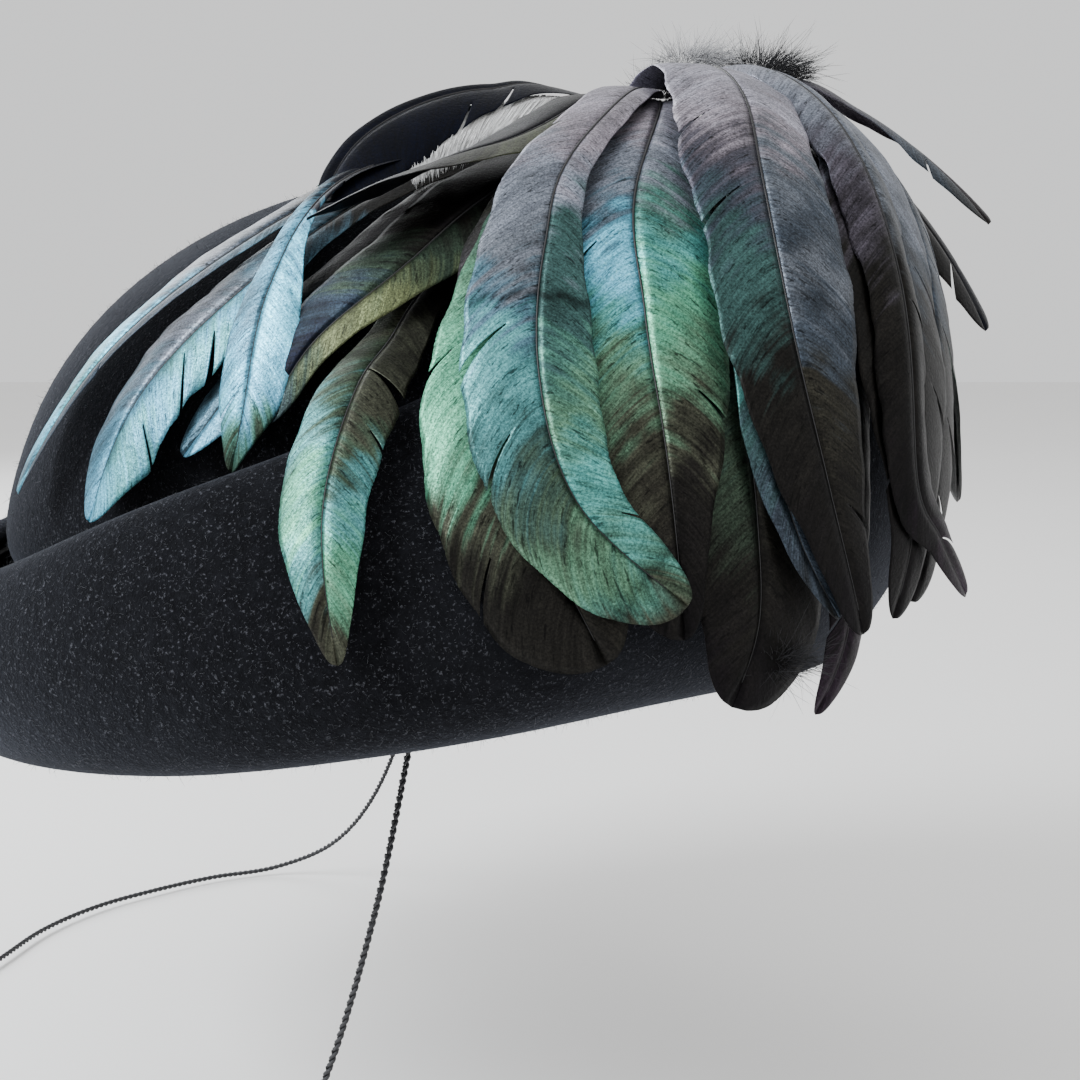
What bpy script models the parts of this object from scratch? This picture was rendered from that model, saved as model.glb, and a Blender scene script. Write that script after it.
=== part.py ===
"""Fascinator headpiece: a black felt hat with a rolled, asymmetric brim and a fan of coque feathers.

Design values are millimetres and degrees; a mesh is turned into metres when it is made. The origin
is the middle of the head opening, +Z points up through the crown and -Y is the side of the tall brim.
"""

import math

import bmesh
import bpy
from mathutils import Vector

MM = 0.001
GAP = 0.3  # clearance between pieces that touch
SKIN_GAP = 0.9  # clearance between faceted skins laid one inside the other

# Felt body
OPENING_X, OPENING_Y = 98.0, 72.0  # half axes of the head opening
FELT = 2.8
CROWN_HEIGHT = 112.0
CROWN_SHOULDER = 25.0  # height at which the crown is widest
CROWN_LEFT, CROWN_RIGHT, CROWN_FRONT, CROWN_BACK = 116.0, 90.0, 70.0, 84.0
CROWN_LEAN = 27.0  # how far the top stands to the right of the opening
CROWN_LEAN_POWER = 1.2
CROWN_FULLNESS = 2.5
AROUND = 40  # facets round the hat
WALL_ROWS, DOME_ROWS = 3, 7

# Brim: one row every 30 degrees from the right hand side, counter-clockwise seen from above, with
# low radius, low height, outer radius, outer height, top radius and top height.
BRIM = (
    (101, 1, 121, 38, 108, 84),
    (100, -1, 117, 34, 106, 72),
    (92, -4, 107, 26, 98, 58),
    (90, -6, 103, 20, 94, 46),
    (98, -10, 110, 12, 101, 36),
    (110, -15, 123, 5, 115, 28),
    (118, -19, 131, -1, 123, 20),
    (112, -19, 124, 0, 117, 20),
    (105, -14, 115, 10, 104, 41),
    (104, -4, 110, 24, 84, 60),
    (96, 2, 107, 34, 84, 78),
    (96, 3, 111, 39, 97, 87),
)
LIP_IN, LIP_DOWN = 5.0, 3.0  # how far the rolled edge turns in and down
SEAT_OUT = 6.0  # the brim lies flat under the crown as far out as this
BRIM_STEPS = 2  # samples between two points of the section
WIRE_RADIUS = 0.7
WIRE_IN, WIRE_DOWN = 4.4, 6.2  # the wire's place inside the rolled edge, from the brim's top
WIRE_SIDES = 6

# Lining and head band
LINING = 0.6
BAND = 0.9
BAND_FOOT, BAND_TOP = 1.0, 24.0

# Elastic: a route from the front of the head band down to the table and up to the back
ELASTIC_DIAMETER = 1.6
ELASTIC_SEGMENTS = 78
ELASTIC_ROUTE = (
    (-4, -63.8, 5), (-4, -63.8, -4), (-6, -69, -16), (-12, -80, -45), (-22, -86, -78),
    (-34, -93, -101), (-52, -100, -109), (-86, -100, -109), (-125, -80, -109), (-149, -40, -109),
    (-148, 0, -109), (-135, 38, -109), (-128, 62, -109), (-117, 80, -109), (-103, 93, -109),
    (-86, 105, -109), (-66, 112, -108), (-46, 108, -98), (-31, 98, -78), (-18, 84, -46),
    (-8, 73, -18), (-4, 65, -4), (-4, 64.4, 5),
)
TACK_SIZE = (6.0, 1.4, 4.0)
TACK_HEIGHT = 8.3
TACK_FRONT_Y, TACK_BACK_Y = -63.9, 64.6

# The draped shape that the feathers follow, and the knot that they fan out from
KNOT = Vector((50.0, 0.0, 134.0))
MOUNT_X = 43.0  # where the knot's axis meets the crown
DRAPE_CENTRE = Vector((10.0, 0.0, 10.0))
DRAPE_LEFT, DRAPE_RIGHT, DRAPE_FRONT, DRAPE_BACK = 134.0, 115.0, 112.0, 108.0
DRAPE_UP, DRAPE_DOWN = 124.0, 90.0
DRAPE_FULLNESS, DRAPE_SHOULDER, DRAPE_UNDER = 1.65, 1.55, 2.0

# Feather mount
PAD_RADIUS, PAD_THICKNESS = 17.0, 1.6
PAD_SIDES = 24
PAD_RINGS = (0.35, 0.7, 1.0)  # shares of its radius
BINDING_RADIUS, BINDING_HEIGHT = 8.4, 12.0
BINDING_TURNS = 4
BINDING_GROOVE = 1.0  # depth between two turns
BINDING_SIDES = 16
BINDING_GAP = 1.8  # the foot of the binding stands this far over the pad
TUFT_GAP = 2.0
TUFT_SIDES = 10
# Foot of each tuft from the middle of the binding's top, its tip and its radius
PALE_TUFT = (Vector((-2, -3, 0)), Vector((50, -4, 136)), 4.0)
DARK_TUFT = (Vector((6, 3, 0)), Vector((75, 3, 136)), 3.5)

# Feathers
FEATHER_ROWS = 10
FEATHER_THICKNESS = 0.5
TANGENT_STEP = 0.01  # share of the length to either side, for a feather's direction
QUILL_WIDTH = 1.8
VANE_START, VANE_FULL, VANE_TAPER = 0.06, 0.34, 0.62  # shares of the length
# Vane width, then stops along the shaft: heading round the knot from the right hand side, reach
# down from the knot, height over the draped shape, and roll, which lifts the edge on the viewer's
# right of a feather that points away from the knot.
FEATHERS = {
    "feather_front_01": (24, ((264, 5, -13, 0), (257, 36, -4, 0), (260, 52, -3, 0), (264, 66, -2, 0))),
    "feather_front_02": (29, ((266, 5, -12, 0), (259, 34, -1, 0), (263, 60, 1, 0), (270, 72, 1.5, 0),
                              (281, 84, 1, 0))),
    "feather_front_03": (27, ((266, 5, -8, 0), (255, 32, 4, 0), (260, 46, 5, 0), (266.5, 60, 5.5, 0),
                              (274, 71, 6, 0), (286, 77, 6.5, 0))),
    "feather_front_04": (30, ((276, 5, -10, 0), (270, 34, 2, 0), (274, 50, 3, 0), (281, 64, 3.5, 0),
                              (291, 81, 4, 0))),
    "feather_front_05": (27, ((288, 5, -12, 0), (284, 36, -1, 0), (289, 54, 0.5, 0), (293, 68, 1, 0),
                              (297, 78, 1, 0))),
    "feather_front_06": (33, ((291, 5, -6.5, 0), (291, 12, 6.4, 0), (290, 22, 6.6, 0), (289, 34, 6.8, 0),
                              (293.5, 50, 7, 0), (300, 64, 7, 0), (307, 76, 7, 0))),
    "feather_front_07": (9, ((292, 5, -9, 0), (288, 34, 4.2, 0), (290, 56, 5, 0), (296, 68, 5, 0),
                             (303, 75, 5, 0))),
    "feather_left_01": (20, ((216, 5, -11.2, 0), (210, 30, -10.6, 0), (209, 52, -10.6, 0), (205, 74, -9, 0),
                             (202, 93, -11, 0))),
    "feather_left_02": (22, ((226, 5, -12.6, 0), (217, 34, -12.2, 0), (216, 57, -12.6, 0),
                             (213, 76, -14, 0), (214, 92, -18, 0))),
    "feather_left_03": (17, ((218, 5, -9, 0), (210, 26, -8, 0), (216, 42, -7.5, 0), (223, 57, -9.5, 0),
                             (229, 70, -14, 0), (231, 79, -19, 0))),
    "feather_left_04": (16, ((232, 5, -14.3, 0), (229, 20, -13.9, 0), (229, 40, -14.2, 0),
                             (226, 58, -15.8, 0), (222, 80, -20, 0))),
    "feather_left_05": (22, ((205, 5, -7, 0), (204, 16, -2.5, 15), (204, 26, -1.2, 25), (206, 36, -1.2, 25),
                             (211, 45, -3, 18))),
    "feather_left_06": (20, ((246, 5, -9.2, 0), (246, 20, -4.5, 0), (238, 33, -1, -25), (231, 42, -1, -40),
                             (224, 50, -3, -35))),
    "feather_left_07": (25, ((252, 5, -14.5, 0), (244, 32, -7.8, 0), (240, 48, -8.5, 0), (234, 61, -12, 0),
                             (232.5, 72, -17, 0))),
    "feather_left_08": (15, ((246, 5, -17.5, 0), (247, 24, -13.8, 0), (246, 46, -15, 0),
                             (249.5, 57, -12.5, 0), (249.5, 65, -3.5, 0), (251.5, 76, 1.5, 0),
                             (254, 83, 5, 0), (258, 91, 5, 0))),
    "feather_right_01": (30, ((306, 5, -10, 0), (318, 13, 2.2, 0), (320, 24, 2.9, 0), (314, 38, 3, 0),
                              (314, 52, 3, 0), (315, 66, 3, 0))),
    "feather_right_02": (30, ((312, 5, -12, 0), (336, 13, 0.6, 0), (336, 24, 1, 0), (327, 38, 0.5, 0),
                              (322, 52, 0.6, 0), (320, 66, 0.6, 0))),
    "feather_right_03": (16, ((324, 5, -13, 0), (338, 30, -5.5, 0), (333, 44, -4, 0), (333, 55, -3.5, 0))),
    "feather_right_04": (9, ((334, 5, -11, 0), (341, 26, -3.2, 0), (338, 38, -3, 0), (341, 47, -3, 0))),
    "feather_right_05": (16, ((342, 5, -9, 0), (349, 20, -0.9, 0), (352, 31, 0.8, -20), (351, 42, 8, -30))),
    "feather_right_06": (10, ((350, 5, -7, 0), (351, 13, 5, 0), (349, 20, 6, 0), (347, 28, 9, -10),
                              (345, 35, 13.5, -25))),
    "feather_right_07": (12, ((304, 5, -8, 0), (310, 14, 4.7, 0), (311, 40, 5.4, 0), (312, 60, 5.3, 0),
                              (321, 66, 5.5, 0), (331, 72, 6, 0))),
    "feather_right_08": (14, ((300, 5, -13, 0), (304, 40, -3, 0), (307, 66, -2.5, 0), (309, 76, -2.5, 0),
                              (308, 85, -4, 0))),
    "feather_back_01": (30, ((2, 5, -12, 0), (2, 30, -3, 0), (0, 48, -1, 0), (-4, 62, -1, 0))),
    "feather_back_02": (32, ((20, 5, -10, 0), (22, 30, 0, 0), (22, 50, 2, 0), (18, 64, 2, 0))),
    "feather_back_03": (30, ((42, 5, -12, 0), (44, 30, -3, 0), (46, 48, 0, 0), (50, 58, 1, 0))),
    "feather_back_04": (32, ((66, 5, -10, 0), (64, 30, -1, 0), (68, 48, 1.5, 0), (72, 62, 1.5, 0))),
    "feather_back_05": (28, ((88, 5, -12, 0), (86, 30, -7, 0), (90, 46, -6, 0), (96, 58, -6, 0))),
    "feather_back_06": (30, ((110, 5, -10, 0), (108, 30, -4, 0), (112, 46, -4, 0), (118, 60, -4, 0))),
    "feather_back_07": (26, ((134, 5, -12, 0), (134, 30, -7, 0), (138, 46, -4.5, 0), (144, 60, -4.5, 0))),
    "feather_back_08": (28, ((162, 5, -10, 0), (159, 28, -5, 0), (160, 45, -5, 0), (166, 60, -5, 0))),
}


def clear_scene():
    """Take away every object, so that the script can run again."""
    for obj in list(bpy.data.objects):
        bpy.data.objects.remove(obj, do_unlink=True)


def make_material(name, colour, roughness, metallic=0.0):
    made = bpy.data.materials.new(name)
    made.use_nodes = True
    shader = made.node_tree.nodes["Principled BSDF"]
    shader.inputs["Base Color"].default_value = (*colour, 1.0)
    shader.inputs["Roughness"].default_value = roughness
    shader.inputs["Metallic"].default_value = metallic
    return made


def add_solid(name, points, faces, made):
    """A closed solid from points in millimetres, with its faces turned outwards."""
    mesh = bpy.data.meshes.new(name)
    mesh.from_pydata([point * MM for point in points], [], faces)
    shape = bmesh.new()
    shape.from_mesh(mesh)
    bmesh.ops.recalc_face_normals(shape, faces=shape.faces)
    shape.to_mesh(mesh)
    shape.free()
    mesh.shade_smooth()
    mesh.set_sharp_from_angle(angle=math.radians(40))
    mesh.materials.append(made)
    obj = bpy.data.objects.new(name, mesh)
    bpy.context.collection.objects.link(obj)
    return obj


def spline(stops, share):
    """A point at this share of the way along a smooth curve through the stops."""
    last = len(stops) - 1
    place = min(max(share, 0.0), 1.0) * last
    index = min(int(place), last - 1)
    t = place - index
    before = stops[max(index - 1, 0)]
    start, end = stops[index], stops[index + 1]
    after = stops[min(index + 2, last)]
    return tuple(
        0.5 * (2 * b + (c - a) * t + (2 * a - 5 * b + 4 * c - d) * t**2 + (3 * b - a - 3 * c + d) * t**3)
        for a, b, c, d in zip(before, start, end, after)
    )


def around(rows, angle):
    """A row at this angle of evenly spaced rows that close into a ring."""
    count = len(rows)
    place = (angle / math.tau) % 1.0 * count
    index = int(place)
    four = [rows[(index + step) % count] for step in (-1, 0, 1, 2)]
    return spline(four, (1.0 + place - index) / 3.0)


def half_axis(cosine, sine, left, right, front, back):
    """Radius of an outline whose four half axes differ."""
    side = left if cosine < 0 else right
    depth = front if sine < 0 else back
    return 1.0 / math.hypot(cosine / side, sine / depth)


def ring_faces(rings, size, closed):
    """Quads between neighbouring rings of this size."""
    faces = []
    for row in range(rings if closed else rings - 1):
        other = (row + 1) % rings
        for step in range(size):
            after = (step + 1) % size
            faces.append((row * size + step, row * size + after, other * size + after, other * size + step))
    return faces


# Crown, lining and band


def crown_point(angle, wall, dome, inset):
    """A point of the crown: wall from 0 to 1 up to the shoulder, then dome from 0 to 1 to the top."""
    cosine, sine = math.cos(angle), math.sin(angle)
    opening = 1.0 / math.hypot(cosine / OPENING_X, sine / OPENING_Y)
    side = half_axis(cosine, sine, CROWN_LEFT, CROWN_RIGHT, CROWN_FRONT, CROWN_BACK)
    swell = wall * wall * (3.0 - 2.0 * wall)
    radius = opening + (side - opening) * swell - inset
    power = 2.0 / CROWN_FULLNESS
    radius *= max(math.cos(dome * math.pi / 2), 0.0) ** power
    rise = CROWN_HEIGHT - inset - CROWN_SHOULDER
    height = CROWN_SHOULDER * wall + rise * math.sin(dome * math.pi / 2) ** power
    lean = CROWN_LEAN * (height / CROWN_HEIGHT) ** CROWN_LEAN_POWER
    return Vector((lean + radius * cosine, radius * sine, height))


def crown_rings(inset, first_row):
    """Rings of the crown from this row up, and the top point."""
    stages = [(row / WALL_ROWS, 0.0) for row in range(WALL_ROWS)]
    stages += [(1.0, row / DOME_ROWS) for row in range(DOME_ROWS)]
    rings = [
        [crown_point(math.tau * step / AROUND, wall, dome, inset) for step in range(AROUND)]
        for wall, dome in stages[first_row:]
    ]
    return rings, crown_point(0.0, 1.0, 1.0, inset)


def add_dome(name, inset, thickness, first_row, made):
    """An open-bottomed dome of even thickness inside the crown's outer face."""
    outer, outer_top = crown_rings(inset, first_row)
    inner, inner_top = crown_rings(inset + thickness, first_row)
    rings = outer[::-1] + inner
    points = [point for ring in rings for point in ring] + [outer_top, inner_top]
    faces = ring_faces(len(rings), AROUND, closed=False)
    tops = ((0, len(points) - 2), ((len(rings) - 1) * AROUND, len(points) - 1))
    for start, top in tops:
        faces += [(start + step, start + (step + 1) % AROUND, top) for step in range(AROUND)]
    return add_solid(name, points, faces, made)


def add_band(made):
    """The grosgrain band that covers the seam between crown and brim."""
    outside = FELT + SKIN_GAP + LINING + SKIN_GAP
    walls = [BAND_FOOT / CROWN_SHOULDER, 1 / WALL_ROWS, 2 / WALL_ROWS, BAND_TOP / CROWN_SHOULDER]
    section = [(wall, outside) for wall in walls] + [(wall, outside + BAND) for wall in walls[::-1]]
    points = [
        crown_point(math.tau * step / AROUND, wall, 0.0, inset)
        for step in range(AROUND)
        for wall, inset in section
    ]
    return add_solid("petersham_band", points, ring_faces(AROUND, len(section), closed=True), made)


def crown_height(x, y):
    """Height of the crown's outer face over a point in plan, by bisection up the dome."""
    low, high = 0.0, 1.0
    for _ in range(30):
        dome = (low + high) / 2
        angle = 0.0
        for _ in range(6):
            centre = crown_point(0.0, 1.0, dome, 0.0)
            lean = CROWN_LEAN * (centre.z / CROWN_HEIGHT) ** CROWN_LEAN_POWER
            angle = math.atan2(y, x - lean)
        edge = crown_point(angle, 1.0, dome, 0.0)
        if math.hypot(edge.x - lean, edge.y) > math.hypot(x - lean, y):
            low = dome
        else:
            high = dome
    return crown_point(0.0, 1.0, low, 0.0).z


# Brim


def brim_section(angle):
    """The middle line of the brim's felt at this angle, as radius and height."""
    low_r, low_z, out_r, out_z, top_r, top_z = around(BRIM, angle)
    opening = 1.0 / math.hypot(math.cos(angle) / OPENING_X, math.sin(angle) / OPENING_Y)
    seat = -GAP - FELT / 2
    stops = (
        (opening - FELT, seat),
        (opening + 1.0, seat),
        (low_r, low_z),
        (out_r, out_z),
        (top_r, top_z),
        (top_r - LIP_IN, top_z - LIP_DOWN),
    )
    count = BRIM_STEPS * (len(stops) - 1)
    line = [spline(stops, step / count) for step in range(count + 1)]
    foot = 2 * BRIM_STEPS
    under = [(r, min(z, seat) if r <= opening + SEAT_OUT else z) for r, z in line[:foot]]
    return under + line[foot:]


def thicken(line, thickness):
    """A closed outline of this thickness round an open line in a plane."""
    left, right = [], []
    for index, (x, y) in enumerate(line):
        ahead = line[min(index + 1, len(line) - 1)]
        behind = line[max(index - 1, 0)]
        dx, dy = ahead[0] - behind[0], ahead[1] - behind[1]
        size = math.hypot(dx, dy)
        nx, ny = -dy / size * thickness / 2, dx / size * thickness / 2
        left.append((x + nx, y + ny))
        right.append((x - nx, y - ny))
    return left + right[::-1]


def add_brim(made):
    points = []
    for step in range(AROUND):
        angle = math.tau * step / AROUND
        section = thicken(brim_section(angle), FELT)
        points += [Vector((r * math.cos(angle), r * math.sin(angle), z)) for r, z in section]
    return add_solid("felt_brim", points, ring_faces(AROUND, len(points) // AROUND, closed=True), made)


def add_edge_wire(made):
    """The millinery wire that holds the rolled edge, hidden under the lip."""
    points = []
    for step in range(AROUND):
        angle = math.tau * step / AROUND
        row = around(BRIM, angle)
        for turn in range(WIRE_SIDES):
            spin = math.tau * turn / WIRE_SIDES
            r = row[4] - WIRE_IN + WIRE_RADIUS * math.cos(spin)
            z = row[5] - WIRE_DOWN + WIRE_RADIUS * math.sin(spin)
            points.append(Vector((r * math.cos(angle), r * math.sin(angle), z)))
    return add_solid("brim_edge_wire", points, ring_faces(AROUND, WIRE_SIDES, closed=True), made)


# Elastic


def add_elastic(made):
    """The hat elastic as a plain round cord."""
    curve = bpy.data.curves.new("elastic_cord", "CURVE")
    curve.dimensions = "3D"
    curve.bevel_depth = ELASTIC_DIAMETER / 2 * MM
    curve.bevel_resolution = 2
    curve.use_fill_caps = True
    line = curve.splines.new("POLY")
    line.points.add(ELASTIC_SEGMENTS)
    for index, point in enumerate(line.points):
        place = Vector(spline(ELASTIC_ROUTE, index / ELASTIC_SEGMENTS)) * MM
        point.co = (*place, 1.0)
    curve.materials.append(made)
    obj = bpy.data.objects.new("elastic_cord", curve)
    bpy.context.collection.objects.link(obj)
    return obj


def add_tack(name, y, made):
    """A worked thread tack that holds one end of the elastic to the band."""
    half = [size / 2 for size in TACK_SIZE]
    corners = [
        Vector((ELASTIC_ROUTE[0][0] + sx * half[0], y + sy * half[1], TACK_HEIGHT + sz * half[2]))
        for sz in (-1, 1)
        for sx, sy in ((-1, -1), (1, -1), (1, 1), (-1, 1))
    ]
    faces = [(0, 3, 2, 1), (4, 5, 6, 7)] + ring_faces(2, 4, closed=False)
    return add_solid(name, corners, faces, made)


# Feather mount


def knot_axes():
    """The axis from the middle of the draped shape to the knot, and two directions across it."""
    axis = (KNOT - DRAPE_CENTRE).normalized()
    across = Vector((axis.z, 0.0, -axis.x)).normalized()
    return axis, across, Vector((0.0, 1.0, 0.0))


def lathe(name, base, axis, profile, sides, made):
    """A turned solid from radius and height pairs, closed at both ends."""
    across = axis.orthogonal().normalized()
    other = axis.cross(across)
    points = []
    for radius, height in profile:
        for step in range(sides):
            turn = math.tau * step / sides
            spoke = across * math.cos(turn) + other * math.sin(turn)
            points.append(base + axis * height + spoke * radius)
    faces = ring_faces(len(profile), sides, closed=False)
    faces.append(tuple(range(sides)))
    last = (len(profile) - 1) * sides
    faces.append(tuple(range(last, last + sides)))
    return add_solid(name, points, faces, made)


def add_pad(made):
    """A felt pad that follows the crown under the quills."""
    layers = []
    for lift in (GAP + PAD_THICKNESS, GAP):
        rings = [
            [
                (MOUNT_X + PAD_RADIUS * share * math.cos(math.tau * step / PAD_SIDES),
                 PAD_RADIUS * share * math.sin(math.tau * step / PAD_SIDES))
                for step in range(PAD_SIDES)
            ]
            for share in PAD_RINGS
        ]
        layers.append([[Vector((x, y, crown_height(x, y) + lift)) for x, y in ring] for ring in rings])
    top, bottom = layers
    rings = top + bottom[::-1]
    points = [point for ring in rings for point in ring]
    points.append(Vector((MOUNT_X, 0.0, crown_height(MOUNT_X, 0.0) + GAP + PAD_THICKNESS)))
    points.append(Vector((MOUNT_X, 0.0, crown_height(MOUNT_X, 0.0) + GAP)))
    faces = ring_faces(len(rings), PAD_SIDES, closed=False)
    last = (len(rings) - 1) * PAD_SIDES
    faces += [(step, (step + 1) % PAD_SIDES, len(points) - 2) for step in range(PAD_SIDES)]
    faces += [(last + step, last + (step + 1) % PAD_SIDES, len(points) - 1) for step in range(PAD_SIDES)]
    return add_solid("feather_pad", points, faces, made)


def binding_base():
    """The middle of the binding's foot, just over the pad."""
    axis = knot_axes()[0]
    top = crown_height(MOUNT_X, 0.0) + GAP + PAD_THICKNESS
    return Vector((MOUNT_X, 0.0, top)) + axis * BINDING_GAP


def add_binding(made):
    """Thread wound round the quills, as a stack of rounded turns."""
    turn = BINDING_HEIGHT / BINDING_TURNS
    profile = [(BINDING_RADIUS - BINDING_GROOVE, 0.0)]
    for index in range(BINDING_TURNS):
        profile.append((BINDING_RADIUS, turn * (index + 0.5)))
        profile.append((BINDING_RADIUS - BINDING_GROOVE, turn * (index + 1)))
    return lathe("quill_binding", binding_base(), knot_axes()[0], profile, BINDING_SIDES, made)


def add_tuft(name, tuft, made):
    """A spindle of down from its foot, over the binding, to its tip."""
    offset, tip, radius = tuft
    foot = binding_base() + knot_axes()[0] * (BINDING_HEIGHT + TUFT_GAP) + offset
    axis = tip - foot
    length = axis.length
    profile = [
        (radius * math.sin(math.pi * (0.12 + 0.8 * share)) ** 0.8, length * share)
        for share in (0.0, 0.2, 0.4, 0.6, 0.8, 1.0)
    ]
    return lathe(name, foot, axis.normalized(), profile, TUFT_SIDES, made)


# Feathers


def drape_radius(direction):
    """Distance from the middle of the draped shape to its surface."""
    flat = math.hypot(direction.x, direction.y)
    side = DRAPE_RIGHT if direction.x > 0 else DRAPE_LEFT
    depth = DRAPE_BACK if direction.y > 0 else DRAPE_FRONT
    height = DRAPE_UP if direction.z > 0 else DRAPE_DOWN
    east = max(direction.x, 0.0) / max(flat, 1e-9)
    power = DRAPE_FULLNESS + DRAPE_SHOULDER * east**2 if direction.z > 0 else DRAPE_UNDER
    plan = math.hypot(direction.x / side, direction.y / depth)
    return (plan**power + (abs(direction.z) / height) ** power) ** (-1.0 / power)


def drape_direction(heading, reach):
    axis, across, back = knot_axes()
    turn, fall = math.radians(heading), math.radians(reach)
    spoke = across * math.cos(turn) + back * math.sin(turn)
    return axis * math.cos(fall) + spoke * math.sin(fall)


def drape_point(direction, lift):
    return DRAPE_CENTRE + direction * (drape_radius(direction) + lift)


def vane_width(width, share):
    """Full width of a feather at this share of its length: quill, swell, then a rounded tip."""
    if share < VANE_START:
        return QUILL_WIDTH
    swell = min((share - VANE_START) / (VANE_FULL - VANE_START), 1.0)
    body = QUILL_WIDTH + (width - QUILL_WIDTH) * (1.0 - (1.0 - swell) ** 2)
    taper = max((share - VANE_TAPER) / (1.0 - VANE_TAPER), 0.0)
    return max(body * math.sqrt(max(1.0 - taper**2.4, 0.0)), QUILL_WIDTH * 0.6)


def feather_points(width, stops):
    """Rows across the vane, each with its upper and lower points from edge to edge."""
    rows = []
    for row in range(FEATHER_ROWS + 1):
        share = row / FEATHER_ROWS
        heading, reach, lift, roll = spline(stops, share)
        middle = drape_direction(heading, reach)
        ahead = spline(stops, min(share + TANGENT_STEP, 1.0))
        behind = spline(stops, max(share - TANGENT_STEP, 0.0))
        along = drape_point(drape_direction(*ahead[:2]), lift) - drape_point(drape_direction(*behind[:2]), lift)
        side = along.cross(middle).normalized()
        half = vane_width(width, share) / 2
        turn = math.radians(roll)
        upper, lower = [], []
        for edge in (-1.0, 0.0, 1.0):
            flank = drape_point(middle, lift) + side * edge * half * math.cos(turn)
            direction = (flank - DRAPE_CENTRE).normalized()
            height = lift + edge * half * math.sin(turn)
            upper.append(drape_point(direction, height + FEATHER_THICKNESS / 2))
            lower.append(drape_point(direction, height - FEATHER_THICKNESS / 2))
        rows.append(upper + lower[::-1])
    return rows


def add_feather(name, width, stops, made):
    rows = feather_points(width, stops)
    size = len(rows[0])
    points = [point for row in rows for point in row]
    faces = ring_faces(len(rows), size, closed=False)
    last = (len(rows) - 1) * size
    for start in (0, last):
        faces.append((start, start + 1, start + 4, start + 5))
        faces.append((start + 1, start + 2, start + 3, start + 4))
    return add_solid(name, points, faces, made)


def build():
    clear_scene()
    felt = make_material("black_felt", (0.012, 0.012, 0.015), 0.95)
    lining = make_material("black_lining", (0.02, 0.02, 0.022), 0.5)
    ribbon = make_material("black_grosgrain", (0.02, 0.02, 0.02), 0.7)
    wire = make_material("covered_wire", (0.03, 0.03, 0.03), 0.8)
    elastic = make_material("black_elastic", (0.015, 0.015, 0.015), 0.75)
    thread = make_material("black_thread", (0.02, 0.02, 0.025), 0.6)
    pale_down = make_material("pale_down", (0.45, 0.45, 0.46), 0.9)
    dark_down = make_material("dark_down", (0.03, 0.03, 0.035), 0.9)
    coque = make_material("coque_feather", (0.03, 0.09, 0.085), 0.35, 0.4)

    add_dome("felt_crown", 0.0, FELT, 0, felt)
    add_brim(felt)
    add_edge_wire(wire)
    add_dome("crown_lining", FELT + SKIN_GAP, LINING, 1, lining)
    add_band(ribbon)
    add_elastic(elastic)
    add_tack("elastic_tack_front", TACK_FRONT_Y, thread)
    add_tack("elastic_tack_back", TACK_BACK_Y, thread)
    add_pad(felt)
    add_binding(thread)
    add_tuft("down_tuft_pale", PALE_TUFT, pale_down)
    add_tuft("down_tuft_dark", DARK_TUFT, dark_down)
    for name, (width, stops) in FEATHERS.items():
        add_feather(name, width, stops, coque)


build()
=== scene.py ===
"""Looks of the fascinator headpiece: felt with its nap, barbed feathers, down, binding and elastic.

Working units are millimetres and degrees; meshes are turned into metres when they are made. The
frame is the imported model's: origin in the middle of the head opening, +Z up through the crown.
"""

import math

import bmesh
import bpy
import numpy as np
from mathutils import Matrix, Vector


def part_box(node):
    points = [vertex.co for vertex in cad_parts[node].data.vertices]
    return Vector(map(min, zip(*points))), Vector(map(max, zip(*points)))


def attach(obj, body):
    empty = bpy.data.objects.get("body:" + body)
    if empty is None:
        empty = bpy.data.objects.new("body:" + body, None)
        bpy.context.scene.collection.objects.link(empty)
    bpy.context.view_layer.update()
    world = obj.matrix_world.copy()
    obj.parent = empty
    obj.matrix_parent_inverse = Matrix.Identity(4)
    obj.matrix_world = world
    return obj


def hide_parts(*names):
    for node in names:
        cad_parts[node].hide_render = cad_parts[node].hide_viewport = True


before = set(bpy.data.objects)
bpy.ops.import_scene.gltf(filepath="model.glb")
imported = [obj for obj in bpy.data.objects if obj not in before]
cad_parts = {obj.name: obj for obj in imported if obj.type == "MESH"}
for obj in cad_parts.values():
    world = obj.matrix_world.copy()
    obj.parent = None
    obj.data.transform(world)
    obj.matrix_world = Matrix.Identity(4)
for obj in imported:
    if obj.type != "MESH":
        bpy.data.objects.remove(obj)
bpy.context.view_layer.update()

MM = 0.001
ROOT = "root"
RNG = np.random.default_rng(11)

# Camera, floor and light
CAMERA_PLACE = (0.022, -0.387, 0.0813)
CAMERA_PITCH = -9.0
CAMERA_LENS = 52.27
FLOOR_DROP = 0.0008
FLOOR_SIZE = 6.0

# Elastic: the same route as its solid
ELASTIC_DIAMETER = 1.6
ELASTIC_PITCH = 3.4  # length of one turn of its two plies
ELASTIC_SAMPLES = 420
ELASTIC_STEP = 0.5
PLY_SWELL = 1.04  # presses the two plies into each other
PLY_SIDES = 8
ELASTIC_ROUTE = (
    (-4, -63.8, 5), (-4, -63.8, -4), (-6, -69, -16), (-12, -80, -45), (-22, -86, -78),
    (-34, -93, -101), (-52, -100, -109), (-86, -100, -109), (-125, -80, -109), (-149, -40, -109),
    (-148, 0, -109), (-135, 38, -109), (-128, 62, -109), (-117, 80, -109), (-103, 93, -109),
    (-86, 105, -109), (-66, 112, -108), (-46, 108, -98), (-31, 98, -78), (-18, 84, -46),
    (-8, 73, -18), (-4, 65, -4), (-4, 64.4, 5),
)

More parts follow.
